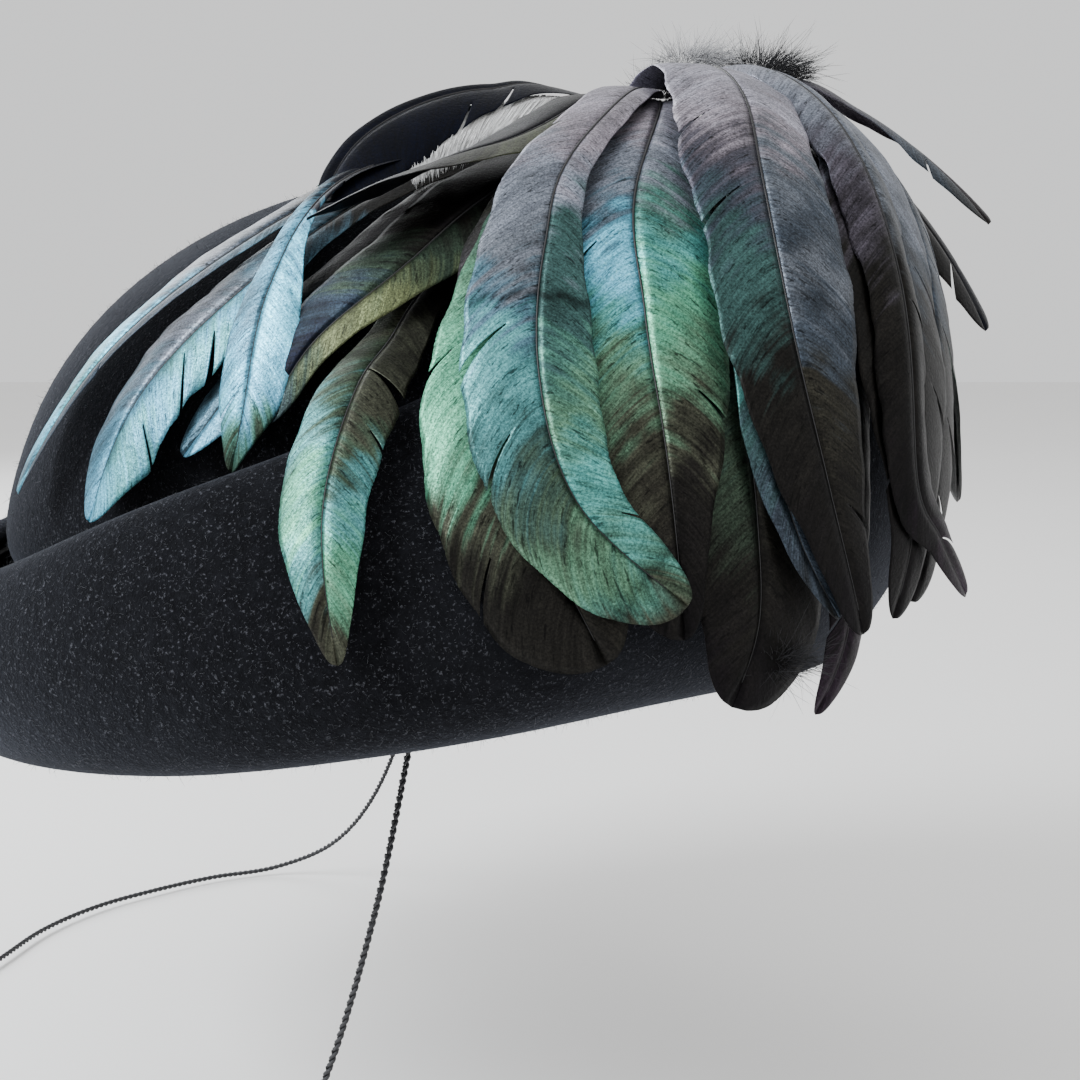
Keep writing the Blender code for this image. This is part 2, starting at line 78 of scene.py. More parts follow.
# The draped shape that the feathers follow, and the knot that they fan out from
KNOT = np.array((50.0, 0.0, 134.0))
DRAPE_CENTRE = np.array((10.0, 0.0, 10.0))
DRAPE_LEFT, DRAPE_RIGHT, DRAPE_FRONT, DRAPE_BACK = 134.0, 115.0, 112.0, 108.0
DRAPE_UP, DRAPE_DOWN = 124.0, 90.0
DRAPE_FULLNESS, DRAPE_SHOULDER, DRAPE_UNDER = 1.65, 1.55, 2.0

# Feather make-up, in millimetres where no share is meant
BARB_STEP = 0.42
BARB_COLUMNS = 10
BARB_SWEEP = 0.85  # how far a barb's tip lies ahead of its root, as a share of its reach
TIP_SWEEP = 5.0
CAMBER = 1.5
CAMBER_SHIFT = 0.45  # share of the camber by which the shaft stands over the feather's own path
GROOVE, GROOVE_WIDTH = 0.45, 0.9  # dip of the vane beside its shaft
LONG_WAVE = (0.3, 5.1)  # height and spacing of the waves towards the vane's edge
SHORT_WAVE = (0.07, 1.3)
EDGE_WAVE = (0.02, 0.45)  # depth, as a share of the vane's width, and pace of the waves of its outline
EDGE_FRAY = 0.012  # deepest fray of the outline, as a share of the vane's width
VANE_THICKNESS = 0.09
SHAFT_RADIUS, SHAFT_TAPER = 0.46, 0.84
SHAFT_RISE = 0.05
SHAFT_STEP = 1.5
SHAFT_SIDES = 6
SHAFT_SAMPLES = 241
TANGENT_STEP = 1.0
SPLIT_REACH = 5.0  # how far along the shaft a split pushes the barbs beside it
SPLIT_DIP = 0.3
BAR_WIDTH = 0.0065  # width of a fault bar, as a share of the feather's length

# Share of the length where the barbs start. A vane without halves of its own has this width at the
# quill, and these shares of the length where it is at its full width and where it begins to taper
VANE_START = 0.02
QUILL_WIDTH = 7.0
VANE_FULL, VANE_TAPER = 0.26, 0.66
# A vane with halves of its own: how far its widths are blurred, and where its tip begins to round off
HALF_BLUR, HALF_SAMPLES = 0.04, 7
TIP_START = 0.88

# How far the colours drift along a vane, as shares of its length: slow and quick waves, barbs that
# hold together in teeth, and single barbs
SLOW_DRIFT, QUICK_DRIFT = 0.02, 0.014
TEETH_DRIFT, TEETH_BARBS = 0.045, 5
BARB_DRIFT = 0.008

# Nap of the felt: hairs on each piece, and the length, radius and stand of its two kinds of hair
NAP = {"crown": 9000, "brim": 12000}
DARK_NAP = dict(length=1.3, radius=0.035, stand=0.75)
LIGHT_NAP = dict(length=1.0, radius=0.02, stand=0.45)
NAP_DROOP = 0.35
HAIR_TAPER = 0.6

# Down: the node replaced, if any, and the colour, count, middle and half size of each clump
DOWN = {
    "pale_fluff": ("down_tuft_pale", "pale", 800, (59, -5, 135), (10, 6, 2)),
    "dark_fluff": ("down_tuft_dark", "dark", 1400, (76, -5, 132), (10, 7, 4)),
    "knot_fluff": (None, "dark", 1200, (53, -9, 127), (9, 5, 4)),
    "hem_fluff": (None, "dark", 450, (68, -97, 12), (6, 3, 3)),
}
DOWN_LEAN = (0.35, -0.05, 0.15)
DOWN_FLATTEN = (1.0, 1.0, 0.5)
DOWN_LENGTH = (2.5, 6.5)
DOWN_RADIUS = 0.065
DOWN_DROOP = 0.5
DOWN_ROWS = 6

# Pale wisps under the black feather at the left: the stretch of its shaft that they fill, and where
# they start and end to the right of it
WISP_START, WISP_END, WISP_COUNT = 0.1, 0.66, 1700
WISP_ROOTS, WISP_TIPS = (5.0, 9.0), 19.0
WISP_ROOT_DROP, WISP_TIP_DROP = 1.0, 2.5
WISP_RUN = 14.0  # how much further along the shaft a wisp ends than it starts
WISP_RADIUS = 0.1
WISP_DROOP = 0.05

# Lights: place, size, power and colour of each; all of them point at LIT_PLACE
LIT_PLACE = (0.0, 0.0, 0.05)
LIGHTS = {
    "window": ((-0.9, -0.4, 0.8), 0.6, 24.0, (0.93, 0.97, 1.0)),
    "back_window": ((-0.7, 0.9, 0.7), 0.9, 12.0, (0.95, 0.98, 1.0)),
    "fill": ((0.9, -0.9, 0.5), 1.0, 3.0, (1.0, 0.97, 0.93)),
}
WORLD_COLOUR, WORLD_STRENGTH = (0.95, 0.955, 0.96, 1.0), 1.05

# Colours, as they look on a screen
# The pale lavender and mauve at the feathers' tops, and the bright sky, glass, foam, mint and cyan in their
# middles, are partly the feathers' own iridescent colour and partly painted sheen: the window's light
# glancing off them is painted into the colour.
PALETTE = {
    "sheen_lavender": (160, 158, 171), "ash": (120, 126, 138), "fog": (100, 105, 113), "mauve": (138, 131, 140),
    "dusk": (80, 76, 85), "slate": (62, 70, 80), "night": (40, 50, 60), "sky": (112, 196, 226),
    "glass": (92, 154, 182), "steel": (78, 108, 124), "foam": (86, 144, 146), "mint": (88, 154, 124),
    "cyan": (82, 152, 148), "sea": (74, 116, 104), "pool": (56, 82, 80), "jade": (88, 126, 102),
    "fern": (64, 80, 66), "moss": (48, 60, 50), "olive": (66, 70, 50), "gold": (82, 88, 62),
    "umber": (64, 66, 56), "bark": (43, 42, 37), "soot": (30, 29, 27), "coal": (20, 18, 20),
    "plum": (46, 36, 46), "ink": (12, 16, 28),
}


def linear(name):
    """A palette colour as linear light."""
    return np.array([(value / 255.0) ** 2.2 for value in PALETTE[name]])


# Each feather: its width; stops along the shaft (heading round the knot, reach down from it, height
# over the draped shape and, where it has any, roll); where its outline is its own, the halves: how
# far its left and its right vane reach from the shaft at shares of the length; the colours of its
# left and right vane from root to tip; any splits (share of the length, side, how deep towards the
# shaft, gap); and any fault bars (share of the length, strength).
# Side 1 is the viewer's left of a feather that falls forward, side -1 the right.
FEATHERS = {
    "feather_front_01": dict(
        width=24, stops=((264, 5, -13), (257, 36, -4), (260, 52, -3), (264, 66, -2)),
        left=((0, "soot"), (0.5, "umber"), (0.8, "dusk"), (1, "bark")),
        right=((0, "soot"), (0.6, "umber"), (1, "soot")),
        splits=((0.8, 1, 0.5, 1.5),)),
    "feather_front_02": dict(
        width=29, stops=((266, 5, -12), (259, 34, -1), (263, 60, 1), (270, 72, 1.5),
                         (281, 84, 1)),
        halves=(((0, 5), (0.2, 9), (0.5, 12), (0.7, 16), (0.8, 18.5), (0.9, 17)),
                ((0, 5), (0.2, 9), (0.5, 12), (0.8, 12), (0.9, 11))),
        left=((0, "coal"), (0.36, "slate"), (0.5, "jade"), (0.62, "mint"), (0.72, "mint"),
              (0.8, "umber"), (0.88, "soot")),
        right=((0, "coal"), (0.5, "jade"), (0.68, "gold"), (0.8, "bark"), (1, "soot")),
        splits=((0.66, 1, 0.75, 1.2), (0.9, 1, 0.6, 1.0))),
    "feather_front_03": dict(
        width=27, stops=((266, 5, -8), (259, 32, 4), (261.5, 46, 5), (266.5, 60, 5.5),
                         (274, 71, 6), (286, 77, 6.5)),
        halves=(((0, 5), (0.15, 8), (0.3, 9), (0.5, 12.5), (0.7, 14.7), (0.8, 14.3), (0.9, 12.5)),
                ((0, 4), (0.15, 5), (0.4, 5.5), (0.5, 6.5), (0.6, 10), (0.7, 11), (0.8, 9.5), (0.9, 7))),
        left=((0, "sheen_lavender"), (0.3, "mauve"), (0.4, "ash"), (0.54, "fog"), (0.6, "steel"),
              (0.66, "foam"), (0.71, "foam"), (0.77, "pool"), (0.84, "fern"), (0.9, "jade"),
              (0.96, "sea"), (1, "umber")),
        right=((0, "sheen_lavender"), (0.3, "mauve"), (0.42, "ash"), (0.52, "pool"), (0.62, "pool"),
               (0.68, "sea"), (0.75, "jade"), (0.84, "cyan"), (0.92, "sea"), (0.97, "fern"), (1, "umber")),
        splits=((0.68, 1, 0.35, 2.2), (0.8, 1, 0.55, 1.0), (0.9, -1, 0.7, 0.8), (0.3, 1, 0.8, 0.8)),
        bars=((0.585, 0.75), (0.78, 0.35), (0.94, 0.6))),
    "feather_front_04": dict(
        width=30, stops=((276, 5, -10), (271, 34, 2), (276, 50, 3), (281.5, 64, 3.5),
                         (287, 80, 4)),
        halves=(((0, 6), (0.15, 9), (0.3, 11), (0.45, 12), (0.6, 15), (0.8, 16), (0.9, 12)),
                ((0, 4), (0.3, 9), (0.4, 14), (0.5, 17), (0.6, 17.5), (0.7, 15), (0.8, 10.5), (0.9, 5.5))),
        left=((0, "sheen_lavender"), (0.25, "mauve"), (0.33, "ash"), (0.41, "ash"), (0.46, "steel"),
              (0.5, "sky"), (0.56, "sky"), (0.62, "cyan"), (0.69, "jade"), (0.76, "umber"),
              (0.84, "bark"), (0.9, "soot"), (1, "coal")),
        right=((0.22, "sheen_lavender"), (0.3, "ash"), (0.38, "ash"), (0.46, "sea"), (0.52, "cyan"),
               (0.6, "mint"), (0.68, "jade"), (0.76, "umber"), (0.82, "soot"), (1, "coal")),
        splits=((0.42, -1, 0.6, 0.8), (0.55, 1, 0.5, 1.2), (0.75, -1, 0.6, 1.0), (0.2, 1, 0.45, 1.6)),
        bars=((0.47, 0.4), (0.71, 0.3))),
    "feather_front_05": dict(
        width=27, stops=((288, 5, -12), (284, 36, -1), (289, 54, 0.5), (293, 68, 1),
                         (295, 77, 1.5), (294, 85, 2.5)),
        halves=(((0, 5), (0.5, 14), (0.8, 16), (0.9, 12)),
                ((0, 5), (0.5, 14), (0.7, 19), (0.8, 20), (0.9, 15))),
        left=((0, "coal"), (0.5, "pool"), (0.7, "moss"), (0.85, "soot"), (1, "coal")),
        right=((0, "coal"), (0.5, "umber"), (0.8, "soot"), (1, "coal")),
        splits=((0.85, -1, 0.5, 1.5),)),
    "feather_front_06": dict(
        width=33, stops=((291, 5, -6.5), (291, 12, 1.8), (290, 22, 4.6), (289, 34, 6.4),
                         (292.5, 50, 7), (298.5, 64, 7), (305.5, 76, 7)),
        halves=(((0, 11), (0.1, 13), (0.2, 15), (0.4, 15.7), (0.5, 13), (0.6, 14.5), (0.8, 11.5),
                 (0.9, 6.5)),
                ((0, 6), (0.1, 10), (0.4, 13), (0.5, 16), (0.6, 16.3), (0.7, 13), (0.8, 10), (0.9, 5.5))),
        left=((0.2, "sheen_lavender"), (0.32, "mauve"), (0.38, "dusk"), (0.46, "slate"), (0.53, "pool"),
              (0.6, "pool"), (0.68, "soot"), (1, "coal")),
        right=((0.26, "sheen_lavender"), (0.34, "mauve"), (0.4, "fog"), (0.5, "slate"), (0.56, "fog"),
               (0.64, "slate"), (0.72, "bark"), (0.82, "soot"), (1, "coal")),
        splits=((0.36, 1, 0.6, 1.0), (0.5, 1, 0.4, 1.2), (0.88, -1, 0.5, 1.4)),
        bars=((0.6, 0.3),)),
    "feather_front_07": dict(
        width=9, stops=((292, 5, -9), (288, 34, 4.2), (290, 56, 5), (296, 68, 5),
                        (303, 75, 5)),
        left=((0, "ink"), (0.5, "pool"), (0.6, "cyan"), (0.72, "pool"), (0.85, "slate"), (1, "soot")),
        right=((0, "ink"), (0.6, "pool"), (0.85, "slate"))),
    # Its coal root, which lies under the black feather, and its darker right vane, along its lower edge,
    # are painted shade.
    "feather_left_01": dict(
        width=20, stops=((216, 5, -14), (211, 30, -13), (209, 52, -10.6),
                         (205, 74, -9), (202, 93, -11)),
        halves=(((0, 4), (0.4, 6), (0.6, 9), (0.9, 9), (1, 6)), ((0, 3), (0.5, 4), (1, 3))),
        left=((0.42, "coal"), (0.52, "slate"), (0.6, "fog"), (0.66, "steel"), (0.76, "sky"),
              (0.84, "foam"), (0.9, "sky"), (1, "steel")),
        right=((0.45, "coal"), (0.54, "steel"), (0.64, "slate"), (0.8, "night"), (1, "slate")),
        splits=((0.8, -1, 0.6, 1.2),)),
    # Its coal root, which lies under the black feather, is painted shade.
    "feather_left_02": dict(
        width=22, stops=((226, 5, -15), (218, 34, -13.4), (216, 57, -12.6),
                         (213, 76, -14), (214, 92, -18)),
        halves=(((0, 4), (0.5, 6), (0.6, 10), (0.7, 14), (0.8, 16), (0.9, 10), (1, 4)),
                ((0, 4), (0.5, 6), (0.6, 9), (0.7, 12), (0.8, 13), (0.9, 13), (1, 8))),
        left=((0.42, "coal"), (0.56, "steel"), (0.64, "fog"), (0.74, "ash"), (0.84, "steel"),
              (1, "glass")),
        right=((0, "coal"), (0.44, "soot"), (0.56, "steel"), (0.63, "glass"), (0.7, "foam"),
               (0.82, "glass"), (0.9, "foam"), (1, "sky")),
        splits=((0.66, -1, 0.35, 2.0), (0.74, -1, 0.35, 2.6), (0.8, -1, 0.3, 1.6), (0.9, -1, 0.5, 1.2))),
    "feather_left_03": dict(
        width=17, stops=((222, 5, -14), (215, 26, -12.5), (215.5, 42, -7.5), (222.5, 57, -9.5),
                         (229, 70, -14), (231, 79, -19)),
        halves=(((0, 3), (0.5, 3), (0.6, 3.5), (0.7, 5), (0.8, 7), (0.9, 7.5), (1, 3)),
                ((0, 2), (0.5, 2), (0.6, 3), (0.7, 7), (0.8, 10), (0.9, 8), (1, 3))),
        left=((0.5, "ink"), (0.57, "steel"), (0.62, "glass"), (0.75, "steel"), (0.84, "glass"),
              (0.9, "sky"), (0.97, "sea"), (1, "moss")),
        right=((0.56, "ink"), (0.62, "glass"), (0.68, "sky"), (0.82, "sky"), (0.91, "glass"),
               (0.97, "sea"), (1, "moss")),
        splits=((0.5, -1, 0.75, 0.8), (0.93, 1, 0.3, 1.0))),
    "feather_left_04": dict(
        width=16, stops=((232, 5, -14.3), (229, 20, -13.9), (229, 40, -14.2),
                         (226, 58, -15.8), (222, 80, -20)),
        left=((0.6, "coal"), (0.8, "bark"), (1, "steel")),
        right=((0, "coal"), (0.6, "slate"), (0.85, "steel"), (1, "glass"))),
    "feather_left_05": dict(
        width=22, stops=((205, 5, -9), (204, 16, -4.5, 10), (204.5, 26, -4, 18), (208, 36, -5.5, 20),
                         (216, 45, -9, 10)),
        halves=(((0, 2), (0.4, 2), (0.9, 2.5)),
                ((0, 6), (0.3, 8), (0.5, 11), (0.6, 13), (0.7, 14), (0.8, 13), (0.9, 10))),
        left=((1, "ink"),),
        right=((1, "ink"),),
        splits=((0.36, -1, 0.4, 1.5), (0.5, -1, 0.5, 1.2))),
    # Its coal and ink are painted shade: the black shadow beneath this feather, which is seen nearly
    # edge-on.
    "feather_left_06": dict(
        width=20, stops=((246, 5, -9.2), (246, 20, -4.5), (238, 33, -1, -25), (231, 42, -1, -40),
                         (224, 50, -3, -35)),
        left=((0, "slate"), (0.1, "coal"), (1, "ink")),
        right=((0, "slate"), (0.1, "coal"), (0.45, "olive"), (0.7, "soot"), (1, "ink"))),
    # Its coal root, up to about the middle, is painted shade: the deep shadow under the feathers above it.
    "feather_left_07": dict(
        width=25, stops=((252, 5, -14.5), (244, 32, -7.8), (240, 48, -8.5), (234, 61, -12),
                         (232.5, 72, -17)),
        halves=(((0, 6), (0.2, 11), (0.6, 12), (0.8, 11), (0.9, 8)),
                ((0, 6), (0.2, 10), (0.6, 10), (0.7, 7), (0.8, 6), (0.9, 5))),
        left=((0.5, "coal"), (0.6, "soot"), (0.7, "moss"), (0.78, "night"), (0.86, "ink")),
        right=((0, "coal"), (0.48, "soot"), (0.62, "moss"), (0.74, "gold"), (0.84, "olive"),
               (0.92, "moss"), (1, "night"))),
    "feather_left_08": dict(
        width=16, stops=((246, 5, -17.5), (245, 24, -14.5), (242, 46, -14.5),
                         (244, 57, -11.5), (246.5, 65, -4), (250, 76, 1.5),
                         (253.5, 83, 5), (258, 91, 5)),
        halves=(((0, 4), (0.5, 4), (0.6, 6.5), (0.7, 8.5), (0.8, 10), (0.9, 7), (0.95, 4.5)),
                ((0, 4), (0.5, 6), (0.6, 8.5), (0.7, 9.5), (0.8, 8.3), (0.9, 7), (0.95, 4.5))),
        left=((0, "coal"), (0.44, "soot"), (0.54, "umber"), (0.66, "fern"), (0.74, "foam"),
              (0.82, "mint"), (0.9, "foam"), (0.96, "umber"), (1, "bark")),
        right=((0, "coal"), (0.5, "soot"), (0.62, "umber"), (0.7, "umber"), (0.76, "fern"),
               (0.82, "foam"), (0.9, "mint"), (0.96, "jade"), (1, "umber")),
        splits=((0.68, -1, 0.1, 3.4), (0.75, -1, 0.6, 0.8))),
    "feather_right_01": dict(
        width=30, stops=((306, 5, -10), (318, 13, 2.2), (320, 24, 2.9), (314, 38, 3),
                         (314, 52, 3), (314, 66, 3), (313, 74, 2)),
        halves=(((0, 6), (0.2, 13), (0.5, 17), (0.7, 16), (0.8, 12), (0.9, 7)),
                ((0, 6), (0.2, 12), (0.5, 15), (0.7, 15), (0.8, 11), (0.9, 6))),
        left=((0, "sheen_lavender"), (0.3, "ash"), (0.38, "ash"), (0.46, "dusk"), (0.56, "soot"), (1, "coal")),
        right=((0, "sheen_lavender"), (0.26, "ash"), (0.42, "ash"), (0.52, "slate"), (0.62, "soot"),
               (1, "coal")),
        splits=((0.6, -1, 0.4, 1.6), (0.75, -1, 0.5, 2.0), (0.84, 1, 0.5, 1.6), (0.9, -1, 0.3, 2.6))),
    "feather_right_02": dict(
        width=30, stops=((312, 5, -12), (336, 13, 0.6), (336, 24, 1), (327, 38, 0.5),
                         (322, 52, 0.6), (320, 66, 0.6), (318, 72, 0)),
        halves=(((0, 6), (0.2, 13), (0.5, 16), (0.8, 14), (0.9, 9)),
                ((0, 6), (0.2, 12), (0.5, 13), (0.8, 12), (0.9, 6))),
        left=((0, "sheen_lavender"), (0.25, "ash"), (0.4, "fog"), (0.54, "dusk"), (0.66, "soot"), (1, "coal")),
        right=((0, "sheen_lavender"), (0.25, "ash"), (0.4, "fog"), (0.54, "slate"), (0.66, "soot"), (1, "coal")),
        splits=((0.44, -1, 0.3, 3.5), (0.5, -1, 0.2, 5.0), (0.58, -1, 0.2, 6.0), (0.68, -1, 0.3, 4.0),
                (0.8, -1, 0.4, 2.6), (0.9, -1, 0.3, 2.6))),
    "feather_right_03": dict(
        width=16, stops=((324, 5, -13), (338, 30, -5.5), (333, 44, -4), (333, 55, -3.5)),
        left=((0.5, "dusk"), (0.7, "soot"), (1, "coal")),
        right=((0, "dusk"), (0.5, "soot"), (1, "coal")),
        splits=((0.6, -1, 0.2, 2.5), (0.75, -1, 0.2, 2.5), (0.8, 1, 0.3, 2.0))),
    "feather_right_04": dict(
        width=9, stops=((334, 5, -11), (341, 26, -3.2), (338, 38, -3), (341, 47, -3)),
        left=((0, "soot"), (1, "coal")),
        right=((0, "soot"), (1, "coal")),
        splits=((0.7, -1, 0.1, 2.0), (0.8, 1, 0.1, 2.0))),
    "feather_right_05": dict(
        width=16, stops=((342, 5, -9), (349, 20, -0.9), (352, 31, 0.8, -20), (351, 44.5, 7, -30)),
        left=((0.5, "dusk"), (0.7, "soot"), (1, "coal")),
        right=((0, "dusk"), (0.5, "soot"), (1, "ink")),
        splits=((0.75, 1, 0.2, 2.5), (0.88, 1, 0.1, 2.5), (0.85, -1, 0.3, 1.5))),
    "feather_right_06": dict(
        width=14, stops=((350, 5, -7), (351, 13, 5), (349, 20, 6), (347, 28, 9, -10),
                         (345, 36, 13.5, -25)),
        left=((0, "ash"), (0.4, "dusk"), (0.7, "slate"), (1, "soot")),
        right=((0, "ash"), (0.4, "dusk"), (0.7, "plum"), (1, "soot")),
        splits=((0.8, 1, 0.2, 1.5),)),
    "feather_right_07": dict(
        width=12, stops=((304, 5, -8), (310, 14, 4.7), (311, 40, 5.4), (312, 60, 5.3),
                         (318, 66, 5.5), (325, 71, 6)),
        halves=(((0, 5), (0.3, 9), (0.8, 7.5), (0.9, 4)), ((0, 5), (0.3, 9), (0.8, 7), (0.9, 3.5))),
        left=((0, "sheen_lavender"), (0.25, "ash"), (0.42, "dusk"), (0.56, "soot"), (0.86, "coal"), (1, "plum")),
        right=((0, "sheen_lavender"), (0.25, "ash"), (0.4, "fog"), (0.56, "soot"), (0.86, "coal"), (1, "plum")),
        splits=((0.62, -1, 0.3, 2.0), (0.93, -1, 0.2, 2.0))),
    "feather_right_08": dict(
        width=14, stops=((300, 5, -13), (304, 40, -3), (307, 66, -2.5), (309, 76, -2.5),
                         (308, 85, -4)),
        left=((0, "mauve"), (0.22, "fog"), (0.42, "fog"), (0.52, "slate"), (0.62, "soot"),
              (0.86, "coal"), (1, "plum")),
        right=((0, "mauve"), (0.22, "fog"), (0.42, "fog"), (0.52, "slate"), (0.62, "soot"),
               (0.86, "coal"), (1, "plum")),
        splits=((0.9, 1, 0.3, 1.5),)),
    "feather_back_01": dict(
        width=30, stops=((2, 5, -12), (2, 30, -3), (0, 48, -1), (-4, 62, -1)),
        left=((0, "mauve"), (0.3, "slate"), (0.6, "pool"), (0.8, "moss"), (1, "bark")),
        right=((0, "mauve"), (0.4, "slate"), (0.7, "plum"), (1, "soot")),
        splits=((0.7, 1, 0.5, 1.5), (0.8, -1, 0.4, 2.0))),
    "feather_back_02": dict(
        width=32, stops=((20, 5, -10), (22, 30, 0), (22, 50, 2), (18, 64, 2)),
        left=((0, "sheen_lavender"), (0.3, "mauve"), (0.5, "pool"), (0.7, "fern"), (1, "bark")),
        right=((0, "sheen_lavender"), (0.3, "slate"), (0.5, "steel"), (0.7, "pool"), (1, "umber")),
        splits=((0.6, -1, 0.6, 1.2), (0.82, 1, 0.4, 1.6)), bars=((0.55, 0.4),)),
    "feather_back_03": dict(
        width=30, stops=((42, 5, -12), (44, 30, -3), (46, 48, 0), (50, 58, 1)),
        left=((0, "mauve"), (0.4, "slate"), (0.6, "sea"), (0.8, "fern"), (1, "umber")),
        right=((0, "mauve"), (0.4, "slate"), (0.6, "pool"), (0.8, "olive"), (1, "bark")),
        splits=((0.75, 1, 0.5, 1.4),)),
    "feather_back_04": dict(
        width=32, stops=((66, 5, -10), (64, 30, -1), (68, 48, 1.5), (72, 62, 1.5)),
        left=((0, "sheen_lavender"), (0.25, "mauve"), (0.42, "glass"), (0.55, "cyan"), (0.7, "sea"),
              (0.85, "fern"), (1, "umber")),
        right=((0, "sheen_lavender"), (0.25, "mauve"), (0.45, "pool"), (0.7, "moss"), (1, "bark")),
        splits=((0.5, 1, 0.7, 1.0), (0.78, -1, 0.4, 1.6)), bars=((0.5, 0.4), (0.72, 0.3))),
    "feather_back_05": dict(
        width=28, stops=((88, 5, -12), (86, 30, -7), (90, 46, -6), (96, 58, -6)),
        left=((0, "mauve"), (0.4, "slate"), (0.6, "mint"), (0.8, "sea"), (1, "umber")),
        right=((0, "mauve"), (0.4, "slate"), (0.6, "pool"), (0.8, "fern"), (1, "bark")),
        splits=((0.7, -1, 0.5, 1.4),)),
    "feather_back_06": dict(
        width=30, stops=((110, 5, -10), (108, 30, -4), (112, 46, -4), (118, 60, -4)),
        left=((0, "sheen_lavender"), (0.3, "mauve"), (0.45, "steel"), (0.6, "sea"), (0.8, "olive"), (1, "bark")),
        right=((0, "sheen_lavender"), (0.3, "slate"), (0.5, "sky"), (0.65, "cyan"), (0.85, "jade"),
               (1, "umber")),
        splits=((0.62, 1, 0.5, 1.2), (0.8, -1, 0.5, 1.4)), bars=((0.66, 0.35),)),
    "feather_back_07": dict(
        width=26, stops=((134, 5, -12), (133, 30, -6), (135, 46, -3.5), (140, 60, -3.5)),
        left=((0, "olive"), (0.4, "moss"), (0.6, "sea"), (0.85, "mint"), (1, "jade")),
        right=((0.4, "olive"), (0.6, "fern"), (0.85, "sea"), (1, "umber")),
        splits=((0.7, 1, 0.5, 1.2),)),
    "feather_back_08": dict(
        width=28, stops=((160, 5, -10), (154, 28, -6), (152, 45, -6.5), (155, 58, -6.5)),
        left=((0, "mauve"), (0.35, "slate"), (0.6, "night"), (0.85, "pool"), (1, "moss")),
        right=((0, "olive"), (0.4, "moss"), (0.6, "pool"), (0.8, "sea"), (1, "moss")),
        splits=((0.75, -1, 0.3, 2.4), (0.66, -1, 0.4, 1.6))),
}


# Curves and the draped shape


def spline(stops, shares):
    """Points at these shares of the way along a smooth curve through the stops."""
    stops = np.asarray(stops, float)
    last = len(stops) - 1
    place = np.clip(shares, 0.0, 1.0) * last
    index = np.minimum(place.astype(int), last - 1)
    t = (place - index)[:, None]
    a, b = stops[np.maximum(index - 1, 0)], stops[index]
    c, d = stops[index + 1], stops[np.minimum(index + 2, last)]
    return 0.5 * (2 * b + (c - a) * t + (2 * a - 5 * b + 4 * c - d) * t**2 + (3 * b - a - 3 * c + d) * t**3)


def unit(vectors):
    return vectors / np.maximum(np.linalg.norm(vectors, axis=-1, keepdims=True), 1e-9)


AXIS = unit(KNOT - DRAPE_CENTRE)
ACROSS = unit(np.array((AXIS[2], 0.0, -AXIS[0])))
BACK = np.array((0.0, 1.0, 0.0))


def drape_radius(direction):
    x, y, z = np.moveaxis(direction, -1, 0)
    flat = np.maximum(np.hypot(x, y), 1e-9)
    side = np.where(x > 0, DRAPE_RIGHT, DRAPE_LEFT)
    depth = np.where(y > 0, DRAPE_BACK, DRAPE_FRONT)
    height = np.where(z > 0, DRAPE_UP, DRAPE_DOWN)
    east = np.maximum(x, 0.0) / flat
    power = np.where(z > 0, DRAPE_FULLNESS + DRAPE_SHOULDER * east**2, DRAPE_UNDER)
    plan = np.hypot(x / side, y / depth)
    return (plan**power + (np.abs(z) / height) ** power) ** (-1.0 / power)


def drape_direction(heading, reach):
    turn, fall = np.radians(heading)[..., None], np.radians(reach)[..., None]
    return AXIS * np.cos(fall) + (ACROSS * np.cos(turn) + BACK * np.sin(turn)) * np.sin(fall)


def drape_point(direction, lift):
    return DRAPE_CENTRE + direction * (drape_radius(direction) + lift)[..., None]


class Shaft:
    """A feather's middle line, measured in millimetres from the root."""

    def __init__(self, stops):
        stops = [(*stop, 0.0)[:4] for stop in stops]
        self.values = spline(stops, np.linspace(0.0, 1.0, SHAFT_SAMPLES))
        points = self.place_of(self.values)
        steps = np.linalg.norm(np.diff(points, axis=0), axis=1)
        self.run = np.concatenate([[0.0], np.cumsum(steps)])
        self.length = self.run[-1]

    @staticmethod
    def place_of(values):
        return drape_point(drape_direction(values[..., 0], values[..., 1]), values[..., 2])

    def stops_at(self, along):
        return np.stack([np.interp(along, self.run, column) for column in self.values.T], axis=-1)

    def point(self, along, aside, rise):
        """A point this far along, this far to one side, and this far over the vane's plane."""
        values = self.stops_at(along)
        middle = drape_direction(values[..., 0], values[..., 1])
        ahead = self.place_of(self.stops_at(np.minimum(along + TANGENT_STEP, self.length)))
        behind = self.place_of(self.stops_at(np.maximum(along - TANGENT_STEP, 0.0)))
        side = unit(np.cross(ahead - behind, middle))
        roll = np.radians(values[..., 3])
        flank = self.place_of(values) + side * (aside * np.cos(roll))[..., None]
        height = values[..., 2] + aside * np.sin(roll) + rise
        return drape_point(unit(flank - DRAPE_CENTRE), height)


# Meshes and pieces


def new_object(name, points, faces, material, attributes=()):
    """A smooth mesh from points in millimetres, with its point attributes."""
    mesh = bpy.data.meshes.new(name)
    mesh.from_pydata((np.asarray(points) * MM).tolist(), [], faces)
    mesh.materials.append(material)
    for label, kind, values in attributes:
        layer = mesh.attributes.new(label, kind, "POINT")
        field = "color" if kind == "FLOAT_COLOR" else "vector"
        layer.data.foreach_set(field, np.asarray(values, np.float32).ravel())
    mesh.shade_smooth()
    obj = bpy.data.objects.new(name, mesh)
    bpy.context.collection.objects.link(obj)
    return obj


def finish_piece(obj, slot, *nodes):
    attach(obj, ROOT)
    if nodes:
        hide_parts(*nodes)
    return obj


def grid_faces(rows, columns):
    """The quads of a grid of points, kept in rows and columns."""
    index = np.arange(rows * columns).reshape(rows, columns)
    return np.stack([index[:-1, :-1], index[1:, :-1], index[1:, 1:], index[:-1, 1:]], axis=-1)


